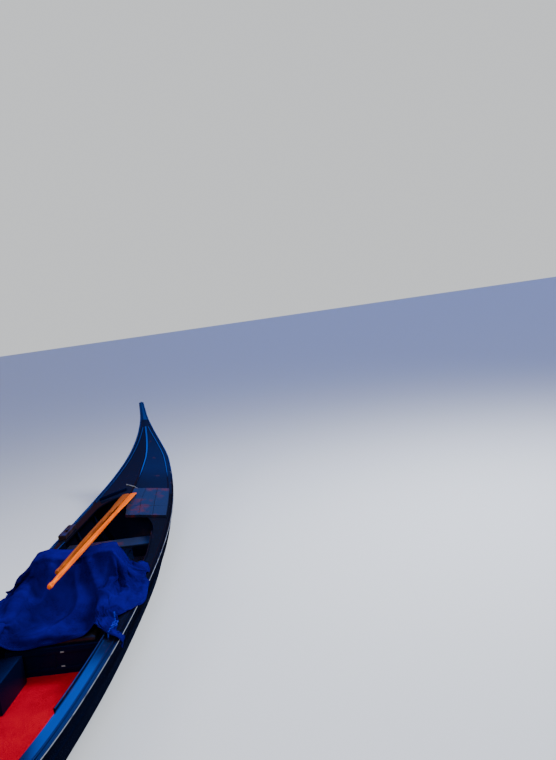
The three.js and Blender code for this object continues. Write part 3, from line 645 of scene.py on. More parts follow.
studio = {
    "reach": 60.0,
    "hullRun": (0.6, 10.2, 0.04),
    "hullClear": 0.001,
    "floorTone": (0.62, 0.62, 0.61, 1),
    "floorRough": 0.6,
    "backTone": (0.80, 0.82, 0.84, 1),
    "lowTone": (0.10, 0.11, 0.13, 1),
    "highTone": (0.50, 0.54, 0.62, 1),
    "darkMirror": (0.006, 0.010, 0.034, 1),  # what the paint mirrors low down, to starboard and high up
    "warmMirror": (0.060, 0.012, 0.008, 1),
    "skyMirror": (0.01, 0.75, 6.0, 1),
    "softRise": (0.05, 0.6),  # rise of a ray from low to high tone, and into the sky that the paint mirrors
    "skyFrom": (0.49, 0.53),
    "skyLean": 2.7,  # how steeply the dark side wall stands over the boat
    "skyGap": (-0.10, -0.06),
    "warmFrom": (0.15, 0.35),
    "lights": (  # place, aim, size, watts, tone, whether the paint mirrors it
        ((-3.0, 6.0, 7.5), (0.0, 0.2, 0.6), (3.0, 2.5), 1500, (0.90, 0.95, 1.0), False),
        ((2.0, -6.5, 6.0), (0.0, 0.0, 0.6), (5.0, 3.0), 240, (1.0, 0.93, 0.86), False),
        ((9.0, 2.0, 6.0), (1.0, 0.2, 0.5), (3.0, 3.0), 420, (1.0, 0.98, 0.95), False),
        ((2.5, 9.0, 3.2), (1.0, 0.6, 0.5), (4.0, 0.25), 60, (0.9, 0.95, 1.0), True),
    ),
}


def addFloor():
    wet, clear = boat["waterline"], studio["hullClear"]
    afloat = [hull for hull in map(hullAt, stations(*studio["hullRun"])) if hull.bottomZ < wet]
    rim = [at(hull, outerHalf(hull, wet) + clear, wet) for hull in afloat]
    rim += [at(hull, -outerHalf(hull, wet) - clear, wet) for hull in reversed(afloat)]
    reach = studio["reach"]
    edge = [(-reach, -reach, wet), (reach, -reach, wet), (reach, reach, wet), (-reach, reach, wet)]
    faces = tessellate_polygon([[Vector(p) for p in edge], [Vector(p) for p in rim]])
    floor = newPiece("studioFloor", edge + rim, faces)
    shape = bmesh.new()
    shape.from_mesh(floor.data)
    for face in shape.faces:
        if face.normal.z < 0:
            face.normal_flip()
    shape.to_mesh(floor.data)
    shape.free()
    paint = bpy.data.materials.new("studioFloorPaint")
    paint.use_nodes = True
    surface = paint.node_tree.nodes["Principled BSDF"]
    surface.inputs["Base Color"].default_value = studio["floorTone"]
    surface.inputs["Roughness"].default_value = studio["floorRough"]
    floor.data.materials.append(paint)
    floor.visible_glossy = False


def addLight():
    world = bpy.data.worlds.new("studio")
    bpy.context.scene.world = world
    world.use_nodes = True
    tree = world.node_tree
    ray = tree.nodes.new("ShaderNodeLightPath").outputs
    towards = addNode(tree, "ShaderNodeTexCoord", output="Generated")
    rise, toPort = (addNode(tree, "ShaderNodeSeparateXYZ", {0: towards}, output=axis) for axis in "ZY")
    soft = blended(tree, spread(tree, rise, *studio["softRise"]), studio["lowTone"], studio["highTone"])
    toStarboard = times(tree, toPort, -1.0)
    walls = blended(tree, spread(tree, toStarboard, *studio["warmFrom"]), studio["darkMirror"], studio["warmMirror"])
    overWall = sums(tree, "SUBTRACT", rise, times(tree, toStarboard, studio["skyLean"]))
    sky = times(tree, spread(tree, rise, *studio["skyFrom"]), spread(tree, overWall, *studio["skyGap"]))
    lit = blended(tree, ray["Is Glossy Ray"], soft, blended(tree, sky, walls, studio["skyMirror"]))
    seen = blended(tree, ray["Is Camera Ray"], lit, studio["backTone"])
    feed(tree, tree.nodes["Background"].inputs["Color"], seen)
    for number, (place, aim, size, watts, colour, mirrored) in enumerate(studio["lights"], 1):
        lamp = bpy.data.lights.new(f"softLight{number}", "AREA")
        lamp.shape = "RECTANGLE"
        lamp.size, lamp.size_y = size
        lamp.energy = watts
        lamp.color = colour
        holder = bpy.data.objects.new(f"softLight{number}", lamp)
        holder.location = place
        holder.rotation_euler = (Vector(aim) - Vector(place)).to_track_quat("-Z", "Y").to_euler()
        holder.visible_glossy = mirrored
        bpy.context.scene.collection.objects.link(holder)


addFloor()
addLight()
print("camera, floor and light set")

# Hull shell

planking = {
    "rows": 20,
    "seams": (0.36, 0.70),  # shares of the side's height
    "seamHalf": 0.008,  # also a share, as is what is kept clear of other rows
    "seamClear": 0.015,
    "seamDepth": 0.0022,
    "bottomThick": 0.022,
    "bottomEase": 0.004,
    "endRows": 12,
    "capShrink": 0.75,  # the stern's end face is this much smaller, and shifted aft
    "capShift": -0.004,
}


def sideRises():
    rises = set(np.linspace(0, 1, planking["rows"] + 1).round(4))
    for seam in planking["seams"]:
        half = planking["seamHalf"]
        rises = {r for r in rises if abs(r - seam) > planking["seamClear"]} | {seam - half, seam, seam + half}
    return sorted(rises)


def sideRing(station, hand):
    hull = hullAt(station)
    depth = hull.sheerZ - hull.bottomZ
    outer, inner = [], []
    for rise in sideRises():
        z = hull.bottomZ + depth * rise
        groove = planking["seamDepth"] if rise in planking["seams"] else 0.0
        outer.append(at(hull, hand * (outerHalf(hull, z) - groove), z))
        inner.append(at(hull, hand * innerHalf(hull, z), z))
    return outer + inner[::-1]


def buildSides():
    for side, hand in hands.items():
        along = stations(boat["sternPostEnd"] + boat["gap"], boat["stemStart"] - boat["gap"], 0.06)
        piece = loft(f"{side}Planking", [sideRing(s, hand) for s in along])
        dress(piece, "hull", "hull_lacquer", f"{side}_side_planking")


def bottomRing(station):
    hull = hullAt(station)
    half = hull.chineHalf - boat["plank"] - boat["gap"]
    low, high = hull.bottomZ, hull.bottomZ + planking["bottomThick"]
    ease = planking["bottomEase"]
    section = [
        (-half, low + ease), (-half + ease, low), (half - ease, low), (half, low + ease), (half, high), (-half, high),
    ]
    return [at(hull, y, z) for y, z in section]


def endRing(station, shrink=1.0, shift=0.0):
    hull = hullAt(station)
    heights = np.linspace(hull.bottomZ, hull.sheerZ, planking["endRows"])
    side = [(outerHalf(hull, z), z) for z in heights]
    top = [(share * hull.sheerHalf, deckTop(hull, share * hull.sheerHalf)) for share in (1, 0.75, 0.5, 0.25)]
    half = side + top
    ring = half + [(0, deckTop(hull, 0))] + [(-y, z) for y, z in reversed(half)]
    middle = (hull.bottomZ + hull.sheerZ) / 2
    return [(hull.x + shift, hull.y + y * shrink, middle + (z - middle) * shrink) for y, z in ring]


def buildEnds():
    along = stations(boat["bottomAft"], boat["bottomFore"], 0.08)
    dress(loft("bottomPlanks", [bottomRing(s) for s in along]), "hull", "hull_lacquer", "bottom_planking")
    cap = endRing(0, planking["capShrink"], planking["capShift"])
    stern = [cap] + [endRing(s) for s in stations(0, boat["sternPostEnd"], 0.02)]
    dress(loft("sternEnd", stern), "hull", "hull_lacquer", "stern_post")
    stem = [endRing(s) for s in stations(boat["stemStart"], boat["stemHead"], 0.02)]
    dress(loft("stemEnd", stem), "hull", "hull_lacquer", "stem_post")


buildSides()
buildEnds()
print("hull shell built")

# Decks with their mouldings

decking = {
    "across": 24,
    "sideAcross": 9,
    "borderInset": 0.045,  # from the sheer to the border moulding
    "border": {"Width": 0.014, "Height": 0.010, "Rounding": 0.004},
    "borderRuns": {"stern": (0.45, 2.53), "fore": (8.37, 10.25)},
    "sideInset": 0.016,
    "sideClear": 0.02,  # from the deck's ends to the side border's
    "sideBorder": {"Width": 0.018, "Height": 0.014, "Rounding": 0.006},
    "ridge": {"Width": 0.030, "Height": 0.014, "Rounding": 0.006},
}


def slabRing(hull, across, hand=1):
    top = [at(hull, hand * y, deckTop(hull, y)) for y in across]
    under = [at(hull, hand * y, deckTop(hull, y) - boat["deckThick"]) for y in across]
    return top + under[::-1]


def deckRing(station):
    hull = hullAt(station)
    return slabRing(hull, np.linspace(1, -1, decking["across"] + 1) * hull.sheerHalf)


def sideDeckRing(station, side, hand):
    hull = hullAt(station)
    return slabRing(hull, np.linspace(hull.sheerHalf, wellHalf(station, side), decking["sideAcross"]), hand)


def lineOver(run, point):  # a line with one point for each station, from its distance to port and height
    return [at(hull, *point(hull)) for hull in map(hullAt, run)]


def deckLine(run, acrossAt, lift=0.003):
    return lineOver(run, lambda hull: (acrossAt(hull), deckTop(hull, acrossAt(hull)) + lift))


def sideDeckStations(side):
    start = max(well["roundings"][side][0], boat["sternDeckEnd"] + boat["gap"])
    end = boat["foredeckStart"] - boat["gap"]
    turn = 1 - np.cos(np.radians(np.linspace(0, 90, 19)))
    sternTurn = start + well["roundings"][side][1] * turn
    bowTurn = end - well["bowRounding"] * turn
    plain = stations(boat["sternDeckEnd"] + boat["gap"], end, 0.06)
    plain = [s for s in plain if not (start < s < sternTurn[-1] or s > bowTurn[-1])] + [end]
    return sorted({round(float(s), 5) for s in [*plain, *sternTurn, *bowTurn]})


def buildDecks():
    gap = boat["gap"]
    sternRun = stations(boat["sternPostEnd"] + gap, boat["sternDeckEnd"], 0.05)
    bowRun = stations(boat["foredeckStart"], boat["stemStart"] - gap, 0.05)
    # the stern deck's finish holds painted sky reflection in its colour
    dress(loft("sternDeck", [deckRing(s) for s in sternRun]), "sternDeck", "deck_lacquer", "stern_deck")
    dress(loft("foreDeck", [deckRing(s) for s in bowRun]), "deck", "deck_lacquer", "foredeck")
    for side, hand in hands.items():
        rings = [sideDeckRing(s, side, hand) for s in sideDeckStations(side)]
        dress(loft(f"{side}SideDeck", rings), "deck", "deck_lacquer", f"{side}_side_deck")
    inset = decking["borderInset"]
    for side, hand in hands.items():
        run = stations(boat["sternDeckEnd"] + decking["sideClear"], boat["foredeckStart"] - decking["sideClear"], 0.05)
        line = deckLine(run, lambda hull: hand * (hull.sheerHalf - decking["sideInset"]))
        lay(f"{side}SideDeckBorder", "moulding", [line], "deck", "deck_lacquer", decking["sideBorder"])
    for name, ends in decking["borderRuns"].items():
        run = stations(*ends, 0.04)
        lines = [deckLine(run, lambda hull: hand * max(0.0, hull.sheerHalf - inset)) for hand in (1, -1)]
        middle = deckLine(run, lambda hull: 0.0)
        lay(f"{name}DeckBorder", "moulding", lines, "deck", "deck_lacquer", decking["border"])
        lay(f"{name}DeckRidge", "moulding", [middle], "deck", "deck_lacquer", decking["ridge"])


buildDecks()
print("decks built")

# Rails, strakes and coamings

rails = {
    "gunwale": {"Width": 0.022, "Height": 0.040, "Rounding": 0.010},
    "gunwaleRun": (0.004, 10.58),
    "gunwaleGap": 0.0006,
    "gunwaleLift": 0.002,
    "edgeStrip": {"Width": 0.005, "Height": 0.007, "Rounding": 0.002},
    "stripLift": 0.010,
    "strake": {"Width": 0.015, "Height": 0.026, "Rounding": 0.006},
    "strakeRun": (1.5, 9.6),
    "strakeShare": 0.74,
    "strakeSunk": 0.001,
    "coamingGap": 0.0008,
    "coamingThick": 0.014,
    "coamingAbove": 0.022,
    "coamingBelow": 0.080,
    "coamingEase": 0.004,
    "coamingRun": (3.88, 7.30),
    "liningGap": 0.002,
    "liningThick": 0.008,
    "liningBelow": 0.010,
    "liningRun": (4.20, 7.86),
    "ribDepth": 0.034,
}


def coamingRing(station, side, hand):
    hull = hullAt(station)
    outer = wellHalf(station, side) - rails["coamingGap"]
    inner = outer - rails["coamingThick"]
    high = deckTop(hull, outer) + rails["coamingAbove"]
    low = hull.sheerZ - rails["coamingBelow"]
    ease = rails["coamingEase"]
    section = [
        (outer, low), (outer, high - ease), (outer - ease * 0.3, high - ease * 0.3), (outer - ease, high),
        (inner + ease, high), (inner + ease * 0.3, high - ease * 0.3), (inner, high - ease), (inner, low),
    ]
    return [at(hull, hand * y, z) for y, z in section]


def liningRing(station, hand):
    hull = hullAt(station)
    heights = np.linspace(boat["floorTop"] + boat["gap"], hull.sheerZ - rails["liningBelow"], 12)
    outer = [(innerHalf(hull, z) - rails["ribDepth"] - rails["liningGap"], z) for z in heights]
    inner = [(y - rails["liningThick"], z) for y, z in reversed(outer)]
    return [at(hull, hand * y, z) for y, z in outer + inner]


def gunwaleLine(hand, aside=0.0, above=0.0):  # the rail's middle, or a line beside and above it
    out = rails["gunwaleGap"] + rails["gunwale"]["Width"] / 2 + aside
    lift = rails["gunwaleLift"] + above
    return lineOver(
        stations(*rails["gunwaleRun"]), lambda hull: (hand * (hull.sheerHalf + out), hull.sheerZ + lift))


def strakeLine(hand):
    out = rails["strake"]["Width"] / 2 - rails["strakeSunk"]

    def point(hull):
        z = hull.bottomZ + (hull.sheerZ - hull.bottomZ) * rails["strakeShare"]
        return hand * (outerHalf(hull, z) + out), z

    return lineOver(stations(*rails["strakeRun"]), point)


def buildRails():
    for side, hand in hands.items():
        lay(f"{side}Rail", "moulding", [gunwaleLine(hand)], "hull", "hull_lacquer",
            rails["gunwale"], f"{side}_gunwale_rail")
        # the rail's edge strip is painted light grey as a painted highlight line
        edge = gunwaleLine(hand, rails["gunwale"]["Width"] / 2, rails["stripLift"])
        lay(f"{side}RailStrip", "moulding", [edge], "paintedGlintEdge", "hull_lacquer", rails["edgeStrip"])
        lay(f"{side}Strake", "moulding", [strakeLine(hand)], "hull", "hull_lacquer",
            rails["strake"], f"{side}_rub_strake")
        coaming = loft(f"{side}Coaming", [coamingRing(s, side, hand) for s in stations(*rails["coamingRun"], 0.05)])
        dress(coaming, "deck", "deck_lacquer", f"{side}_coaming")
        lining = loft(f"{side}Lining", [liningRing(s, hand) for s in stations(*rails["liningRun"], 0.08)])
        dress(lining, "inside", "inside_paint", f"{side}_lining")


buildRails()
print("rails and coamings built")

# Platform, footrest, floors and thwarts

platform = {
    "aft": 2.440,
    "seam": 3.075,
    "fore": 3.400,
    "inner": 0.030,
    "taper": 0.075,  # the inner edge bends outward by this much at the fore end
    "taperFrom": 2.900,
    "edge": 0.028,
    "boards": 3,
    "boardGap": 0.0012,
    "seamGap": 0.004,
    "thick": 0.032,
    "ease": 0.003,
    "lift": 0.0015,
    "toeStrip": ((2.14, -0.135), (2.28, -0.015), (2.425, 0.100)),  # station and distance to port
    "toe": {"Width": 0.010, "Height": 0.014, "Rounding": 0.004},
    "toeLift": 0.006,
}


def boardRing(hull, low, high, under, thick, ease):
    section = [
        (low + ease, under(low + ease)), (high - ease, under(high - ease)), (high, under(high) + ease),
        (high, under(high) + thick - ease), (high - ease, under(high - ease) + thick),
        (low + ease, under(low + ease) + thick), (low, under(low) + thick - ease), (low, under(low) + ease),
    ]
    return [at(hull, y, z) for y, z in section]


def boardBodies(run, values, spanAt, underAt):  # boards side by side, each a list of rings
    bodies = []
    count, gap = values["boards"], values["boardGap"]
    for board in range(count):
        rings = []
        for hull in map(hullAt, run):
            inner, outer = spanAt(hull)
            low = inner + (outer - inner) * board / count + gap / 2
            high = inner + (outer - inner) * (board + 1) / count - gap / 2
            rings.append(boardRing(hull, low, high, lambda y: underAt(hull, y), values["thick"], values["ease"]))
        bodies.append(rings)
    return bodies


def platformSpan(hull):
    bend = max(0.0, (hull.station - platform["taperFrom"]) / (platform["fore"] - platform["taperFrom"]))
    return platform["inner"] + platform["taper"] * bend, hull.sheerHalf - platform["edge"]


def buildPlatform():
    bodies = []
    for start, end in ((platform["aft"], platform["seam"]), (platform["seam"] + platform["seamGap"], platform["fore"])):
        bodies += boardBodies(
            stations(start, end, 0.06), platform, platformSpan, lambda hull, y: deckTop(hull, y) + platform["lift"])
    # platform boards whose colour holds painted sky reflection
    dress(loft("platformBoards", *bodies), "platform", "deck_lacquer", "stern_platform")
    dress(fromNode("footrest", "footrestBar", 0.005), "seatPaint", "deck_lacquer", "footrest")
    toe = [at(hullAt(s), y, deckTop(hullAt(s), y) + platform["toeLift"]) for s, y in platform["toeStrip"]]
    # the toe strip's light grey is a painted highlight along the footrest
    lay("toeStrip", "moulding", [toe], "paintedGlintEdge", "deck_lacquer", platform["toe"])


floors = {
    "runs": {"stern": (2.580, 4.150), "passenger": (4.151, 7.899), "bow": (7.900, 8.360)},
    "boards": 7,
    "boardGap": 0.005,
    "thick": 0.015,
    "ease": 0.002,
    "clear": 0.006,
    "overBottom": 0.036,
}


def floorUnder(hull):
    return max(boat["floorTop"] - floors["thick"], hull.bottomZ + floors["overBottom"])


def floorSpan(hull):
    half = innerHalf(hull, floorUnder(hull)) - rails["ribDepth"] - floors["clear"]
    return -half, half


def buildFloors():
    for name, ends in floors["runs"].items():
        bodies = boardBodies(stations(*ends, 0.08), floors, floorSpan, lambda hull, y: floorUnder(hull))
        dress(loft(f"{name}FloorBoards", *bodies), "floor", "floor_board", f"{name}_floor")


def buildThwarts():
    for name in ("stern", "bow"):
        # thwarts take the platform finish, whose colour holds painted sky reflection
        dress(fromNode(f"{name}_thwart", f"{name}Thwart", 0.006, 3), "platform", "deck_lacquer", f"{name}_thwart")


def paintInnerNodes():
    for name in ("frames", "stern_bulkhead", "bow_bulkhead", "locker_front", "locker_side"):
        nodes[name].data.materials.clear()
        nodes[name].data.materials.append(finishes["inside"])


buildPlatform()
buildFloors()
buildThwarts()
paintInnerNodes()
print("platform, floors and thwarts built")

# Rowlock blocks and the irons at both ends

irons = {
    "thick": 0.014,
    "gap": 0.0005,
    "aft": 9.500,
    "strapWide": 0.046,
    "teeth": 6,
    "pitch": 0.078,
    "toothHigh": 0.046,
    "toothLong": 0.150,
    "web": 0.092,
    "combLow": 0.905,
    "headZ": 1.190,
    "backTooth": (0.165, 0.048),
    "backFore": 0.010,
    "headCurves": (((-0.025, 1.420), (-0.095, 1.500)), ((0.010, 1.700), (0.185, 1.668))),  # bend and end of each
    "throat": (0.235, 1.540),
    "edge": 0.0025,
    "strapRun": (0.010, 0.700, 0.03),
    "strapSection": (  # share of the bottom's half width, and distance below it
        (-1, 0.0004), (1, 0.0004), (1, 0.006), (0.8, 0.009), (-0.8, 0.009), (-1, 0.006),
    ),
}


def stemOutline(off):
    line = []
    for s in stations(irons["aft"], boat["stemHead"], 0.03):
        slope = math.atan2(hullAt(s).bottomZ - hullAt(s - 0.002).bottomZ, 0.002)
        line.append((hullAt(s).x + math.sin(slope) * off, hullAt(s).bottomZ - math.cos(slope) * off))
    return line


def curveTo(line, bend, end, steps=10):
    start = line[-1]
    for t in np.linspace(0, 1, steps + 1)[1:]:
        line.append(tuple((1 - t) ** 2 * a + 2 * t * (1 - t) * b + t * t * c for a, b, c in zip(start, bend, end)))


def bowIronOutline():
    stemX = boat["stemHead"] + irons["gap"] - boat["length"] / 2
    backLong, backHigh = irons["backTooth"]
    headZ = irons["headZ"]
    combHigh = irons["combLow"] + irons["teeth"] * irons["pitch"]
    line = stemOutline(irons["gap"])
    line += [(stemX, headZ), (stemX - backLong, headZ), (stemX - backLong, headZ + backHigh),
             (stemX - irons["backFore"], headZ + backHigh)]
    for (bendX, bendZ), (endX, endZ) in irons["headCurves"]:
        curveTo(line, (stemX + bendX, bendZ), (stemX + endX, endZ))
    throatX, throatZ = irons["throat"]
    curveTo(line, (stemX + throatX, throatZ), (stemX + irons["web"], combHigh))
    for tooth in reversed(range(irons["teeth"])):
        low = irons["combLow"] + tooth * irons["pitch"]
        root, tip = stemX + irons["web"], stemX + irons["web"] + irons["toothLong"]
        line += [(root, low + irons["toothHigh"]), (tip, low + irons["toothHigh"]), (tip, low), (root, low)]
    return line + stemOutline(irons["strapWide"])[::-1]


def buildIrons():
    outline = bowIronOutline()
    half = irons["thick"] / 2
    count = len(outline)
    points = []
    for hand in (-1, 1):
        for x, z in outline:
            y = hullAt(min(boat["stemHead"], x + boat["length"] / 2)).y
            points.append((x, y + hand * half, z))
    faces = [tuple(range(count)), tuple(reversed(range(count, 2 * count)))]
    faces += [(k, (k + 1) % count, count + (k + 1) % count, count + k) for k in range(count)]
    blade = outwards(newPiece("bowComb", points, faces))
    dress(softenEdges(blade, irons["edge"], 2, 25), "iron", "iron", "bow_iron")
    rings = []
    for s in stations(*irons["strapRun"]):
        hull = hullAt(s)
        slope = math.atan2(hullAt(s + 0.01).bottomZ - hull.bottomZ, 0.01)
        section = [(hull.chineHalf * share, off) for share, off in irons["strapSection"]]
        rings.append([
            (hull.x + math.sin(slope) * off, hull.y + y, hull.bottomZ - math.cos(slope) * off) for y, off in section])
    dress(loft("sternStrap", rings), "iron", "iron", "stern_iron")


def buildRowlockBlocks():
    for name in ("stern", "bow"):
        block = fromNode(f"{name}_rowlock_block", f"{name}RowlockBlock", 0.005, 3)
        dress(block, "rowlockWood", "rowlock_wood", f"{name}_rowlock_block")


buildIrons()
buildRowlockBlocks()
print("irons and rowlock blocks built")

# Seats

seats = {
    "front": 5.930,
    "cushion": {"low": 0.4003, "high": 0.478, "half": 0.380, "start": 5.210, "end": 5.912},
    "padLayers": 4,
    "padInset": 0.008,
    "padBulge": 0.010,
    "voxel": 0.009,
    "pressure": 4.0,
    "mass": 0.3,
    "stiffness": 15,
    "bending": 0.5,
    "frames": 20,
    "swellLimit": 0.006,
    "panel": {"low": 0.190, "high": 0.372, "half": 0.360, "rail": 0.030, "gap": 0.0005, "out": 0.009},
    "latches": ((0.080, 0.355), (0.069, 0.229)),  # distance to port and height on the seat's front
    "latchSize": (0.016, 0.006),
    "latchThick": 0.003,
}


def crownedPad(name, start, end, low, high, middle, half, steps=26):
    points = []
    size = steps + 1
    layers, inset = seats["padLayers"], seats["padInset"]
    for level in range(layers + 1):
        share = level / layers
        pull = seats["padBulge"] * (1 - (2 * share - 1) ** 2)
        for i in range(size):
            for j in range(size):
                u, v = 2 * i / steps - 1, 2 * j / steps - 1
                s = (start + end) / 2 + u * ((end - start) / 2 - inset + pull)
                y = middle + v * (half - inset + pull)
                crown = (1 - u**4) * (1 - v**4)
                z = low + (high - low) * share * (0.72 + 0.28 * crown)
                points.append(at(hullAt(s), y, z))
    layer = size * size
    faces = gridFaces(steps, steps, 0, False) + gridFaces(steps, steps, layers * layer)
    for level in range(layers):
        faces += rimFaces(steps, steps, level * layer, layer)
    piece = newPiece(name, points, faces)
    shape = bmesh.new()
    shape.from_mesh(piece.data)
    loose = [v for v in shape.verts if not v.link_faces]
    bmesh.ops.delete(shape, geom=loose, context="VERTS")
    shape.to_mesh(piece.data)
    shape.free()
    return outwards(piece, 60)


def boxRings(start, end, low, high, under, top):  # distances to port of the centreline, then heights
    return [
        [at(hullAt(s), low, under), at(hullAt(s), high, under), at(hullAt(s), high, top), at(hullAt(s), low, top)]
        for s in (start, end)
    ]


def vertPlaces(piece):
    places = np.empty(3 * len(piece.data.vertices))
    piece.data.vertices.foreach_get("co", places)
    return places.reshape(-1, 3)


def puffed(piece):  # blown up a little from inside, no further than the limit
    even = piece.modifiers.new("even", "REMESH")
    even.mode = "VOXEL"
    even.voxel_size = seats["voxel"]
    piece = plainMesh(piece)
    before = vertPlaces(piece)
    settings = piece.modifiers.new("cloth", "CLOTH").settings
    settings.effector_weights.gravity = 0
    settings.use_pressure = True
    settings.uniform_pressure_force = seats["pressure"]
    settings.mass = seats["mass"]
    settings.tension_stiffness = settings.compression_stiffness = seats["stiffness"]
    settings.bending_stiffness = seats["bending"]
    piece = runFrames(piece, seats["frames"])
    move = vertPlaces(piece) - before
    far = np.linalg.norm(move, axis=1, keepdims=True)
    move *= np.minimum(1, seats["swellLimit"] / np.maximum(far, 1e-9))
    piece.data.vertices.foreach_set("co", (before + move).ravel())
    finer = piece.modifiers.new("finer", "SUBSURF")
    finer.levels = finer.render_levels = 1
    return outwards(plainMesh(piece), 60)


def buildPanel():  # a framed panel on the seat's front, with two steel latches painted light grey as glints
    panel = seats["panel"]
    face, out = seats["front"] + panel["gap"], seats["front"] + panel["out"]
    low, high, half, rail = panel["low"], panel["high"], panel["half"], panel["rail"]
    bodies = [
        boxRings(face, out, -half, half, high - rail, high),
        boxRings(face, out, -half, half, low, low + rail),
    ]
    for middle in (-half + rail / 2, 0.0, half - rail / 2):
        bodies.append(boxRings(face, out, middle - rail / 2, middle + rail / 2, low + rail, high - rail))
    frame = softenEdges(loft("seatPanelFrame", *bodies), 0.002, 2)
    dress(frame, "seatPaint", "deck_lacquer")
    plates = []
    for across, height in seats["latches"]:
        wide, tall = seats["latchSize"]
        body = boxRings(
            out, out + seats["latchThick"], across - wide, across + wide, height - tall, height + tall)
        plates.append(body)
    # light grey latches: painted glints in place of the steel's reflection
    dress(softenEdges(loft("seatLatches", *plates), 0.0008, 2), "paintedGlintEdge", "iron")


def buildSeats():
    for node, name in (
        ("main_seat_base", "mainSeatBase"), ("main_seat_back", "mainSeatBack"), ("side_seat", "sideSeat"),
        ("port_armrest", "portArmrest"), ("starboard_armrest", "starboardArmrest"),
    ):
        dress(fromNode(node, name, 0.007, 3), "seatPaint", "deck_lacquer", node)
    pad = seats["cushion"]
    cushion = crownedPad("mainSeatCushion", pad["start"], pad["end"], pad["low"], pad["high"], 0, pad["half"])
    cushion = puffed(cushion)
    dress(cushion, "leather", "seat_leather", "main_seat_cushion")
    buildPanel()


buildSeats()
print("seats built")

# Carpet, laid on the passenger floor

carpet = {
    "start": 5.934,
    "end": 7.840,
    "clear": 0.049,  # from the planking's inside to the carpet's edge
    "low": 0.1504,
    "thick": 0.006,
    "across": 60,
    "along": 120,
    "wave": 0.0016,
}


def carpetHalf(hull):
    return innerHalf(hull, boat["floorTop"]) - carpet["clear"]


def carpetPoint(i, j, top):
    s = carpet["start"] + (carpet["end"] - carpet["start"]) * i / carpet["along"]
    hull = hullAt(s)
    y = carpetHalf(hull) * (2 * j / carpet["across"] - 1)
    wave = carpet["wave"] * (1 + noise.noise(Vector((s * 3, y * 4, 0.3))))
    return at(hull, y, carpet["low"] + (carpet["thick"] + wave if top else 0))


def buildCarpet():
    along, across = carpet["along"], carpet["across"]
    size = across + 1
    points = [carpetPoint(i, j, top) for top in (True, False) for i in range(along + 1) for j in range(size)]
    layer = (along + 1) * size
    faces = gridFaces(along, across, 0, False) + gridFaces(along, across, layer) + rimFaces(along, across, 0, layer)
    piece = outwards(newPiece("carpetSheet", points, faces), 60)
    flat = piece.data.uv_layers.new(name="flat")
    for loop in piece.data.loops:
        x, y, z = piece.data.vertices[loop.vertex_index].co
        flat.data[loop.index].uv = (x + z, y + z)
    dress(piece, "carpet", "red_carpet", "carpet")
    widths = [2 * carpetHalf(hullAt(s)) for s in stations(carpet["start"], carpet["end"], 0.1)]


buildCarpet()
print("carpet laid")

# Oars: share of the length from the blade's tip, half width and half thickness

oarRows = np.array([
    (0.000, 0.040, 0.005),
    (0.014, 0.046, 0.006),
    (0.170, 0.042, 0.008),
    (0.280, 0.030, 0.013),
    (0.350, 0.024, 0.020),
    (0.650, 0.024, 0.024),
    (0.930, 0.020, 0.020),
    (0.960, 0.017, 0.017),
    (1.000, 0.018, 0.018),
])
oars = {
    "oar_1": {"tip": (2.6393, 0.1680, 0.8110), "end": (6.3546, 0.4012, 1.0897), "finish": "oar"},
    "oar_2": {"tip": (2.5319, 0.0411, 0.7848), "end": (5.9246, 0.3112, 1.0489), "finish": "darkerOar"},
    "sides": 28,
    "step": 0.014,  # share of the length, as are the next two
    "endShares": (0.0015, 0.005, 0.995, 0.9985),
    "grip": 0.972,
    "swell": 0.22,
    "endFlat": 0.002,
    "endRound": 0.012,
    "grainScale": (1.2, 0.8),
}


def easedRow(share):
    k = int(np.clip(np.searchsorted(oarRows[:, 0], share, side="right"), 1, len(oarRows) - 1))
    before, after = oarRows[k - 1], oarRows[k]
    return before[1:] + (after[1:] - before[1:]) * smooth((share - before[0]) / (after[0] - before[0]))


def buildOar(node):
    sternX = -boat["length"] / 2
    tip, end = (Vector((p[0] + sternX, p[1], p[2])) for p in (oars[node]["tip"], oars[node]["end"]))
    along = (end - tip).normalized()
    across = Vector((0, 0, 1)).cross(along).normalized()
    up = along.cross(across)
    length = (end - tip).length
    shares = sorted({*oars["endShares"], *stations(0, 1, oars["step"])})
    sides, flat, rounding = oars["sides"], oars["endFlat"], oars["endRound"]
    rings = []
    for share in shares:
        distance = share * length
        halfWide, halfThick = easedRow(share)
        if share > oars["grip"]:
            swell = 1 + oars["swell"] * math.sin(math.pi * (share - oars["grip"]) / (1 - oars["grip"]))
            halfWide, halfThick = halfWide * swell, halfThick * swell
        closing = min(distance + flat, length - distance + flat, rounding) / rounding
        closing = math.sqrt(max(0.0, 1 - (1 - closing) ** 2))
        ring = []
        for k in range(sides):
            angle = 2 * math.pi * k / sides
            point = tip + along * distance + across * halfWide * closing * math.cos(angle)
            ring.append(tuple(point + up * halfThick * closing * math.sin(angle)))
        rings.append(ring)
    piece = loft(node.replace("oar_", "oar"), rings)
    grainMap = piece.data.uv_layers.new(name="grain")
    wide, high = oars["grainScale"]
    for loop in piece.data.loops:
        offset = piece.data.vertices[loop.vertex_index].co - tip
        grainMap.data[loop.index].uv = (offset.dot(along), offset.dot(across) * wide + offset.dot(up) * high)
    dress(piece, oars[node]["finish"], "oar_varnish", node)


buildOar("oar_1")
buildOar("oar_2")
print("oars laid")

# Cover: a cut sheet let fall over the seats. Its port corner runs on as a tail, tied with a tape.

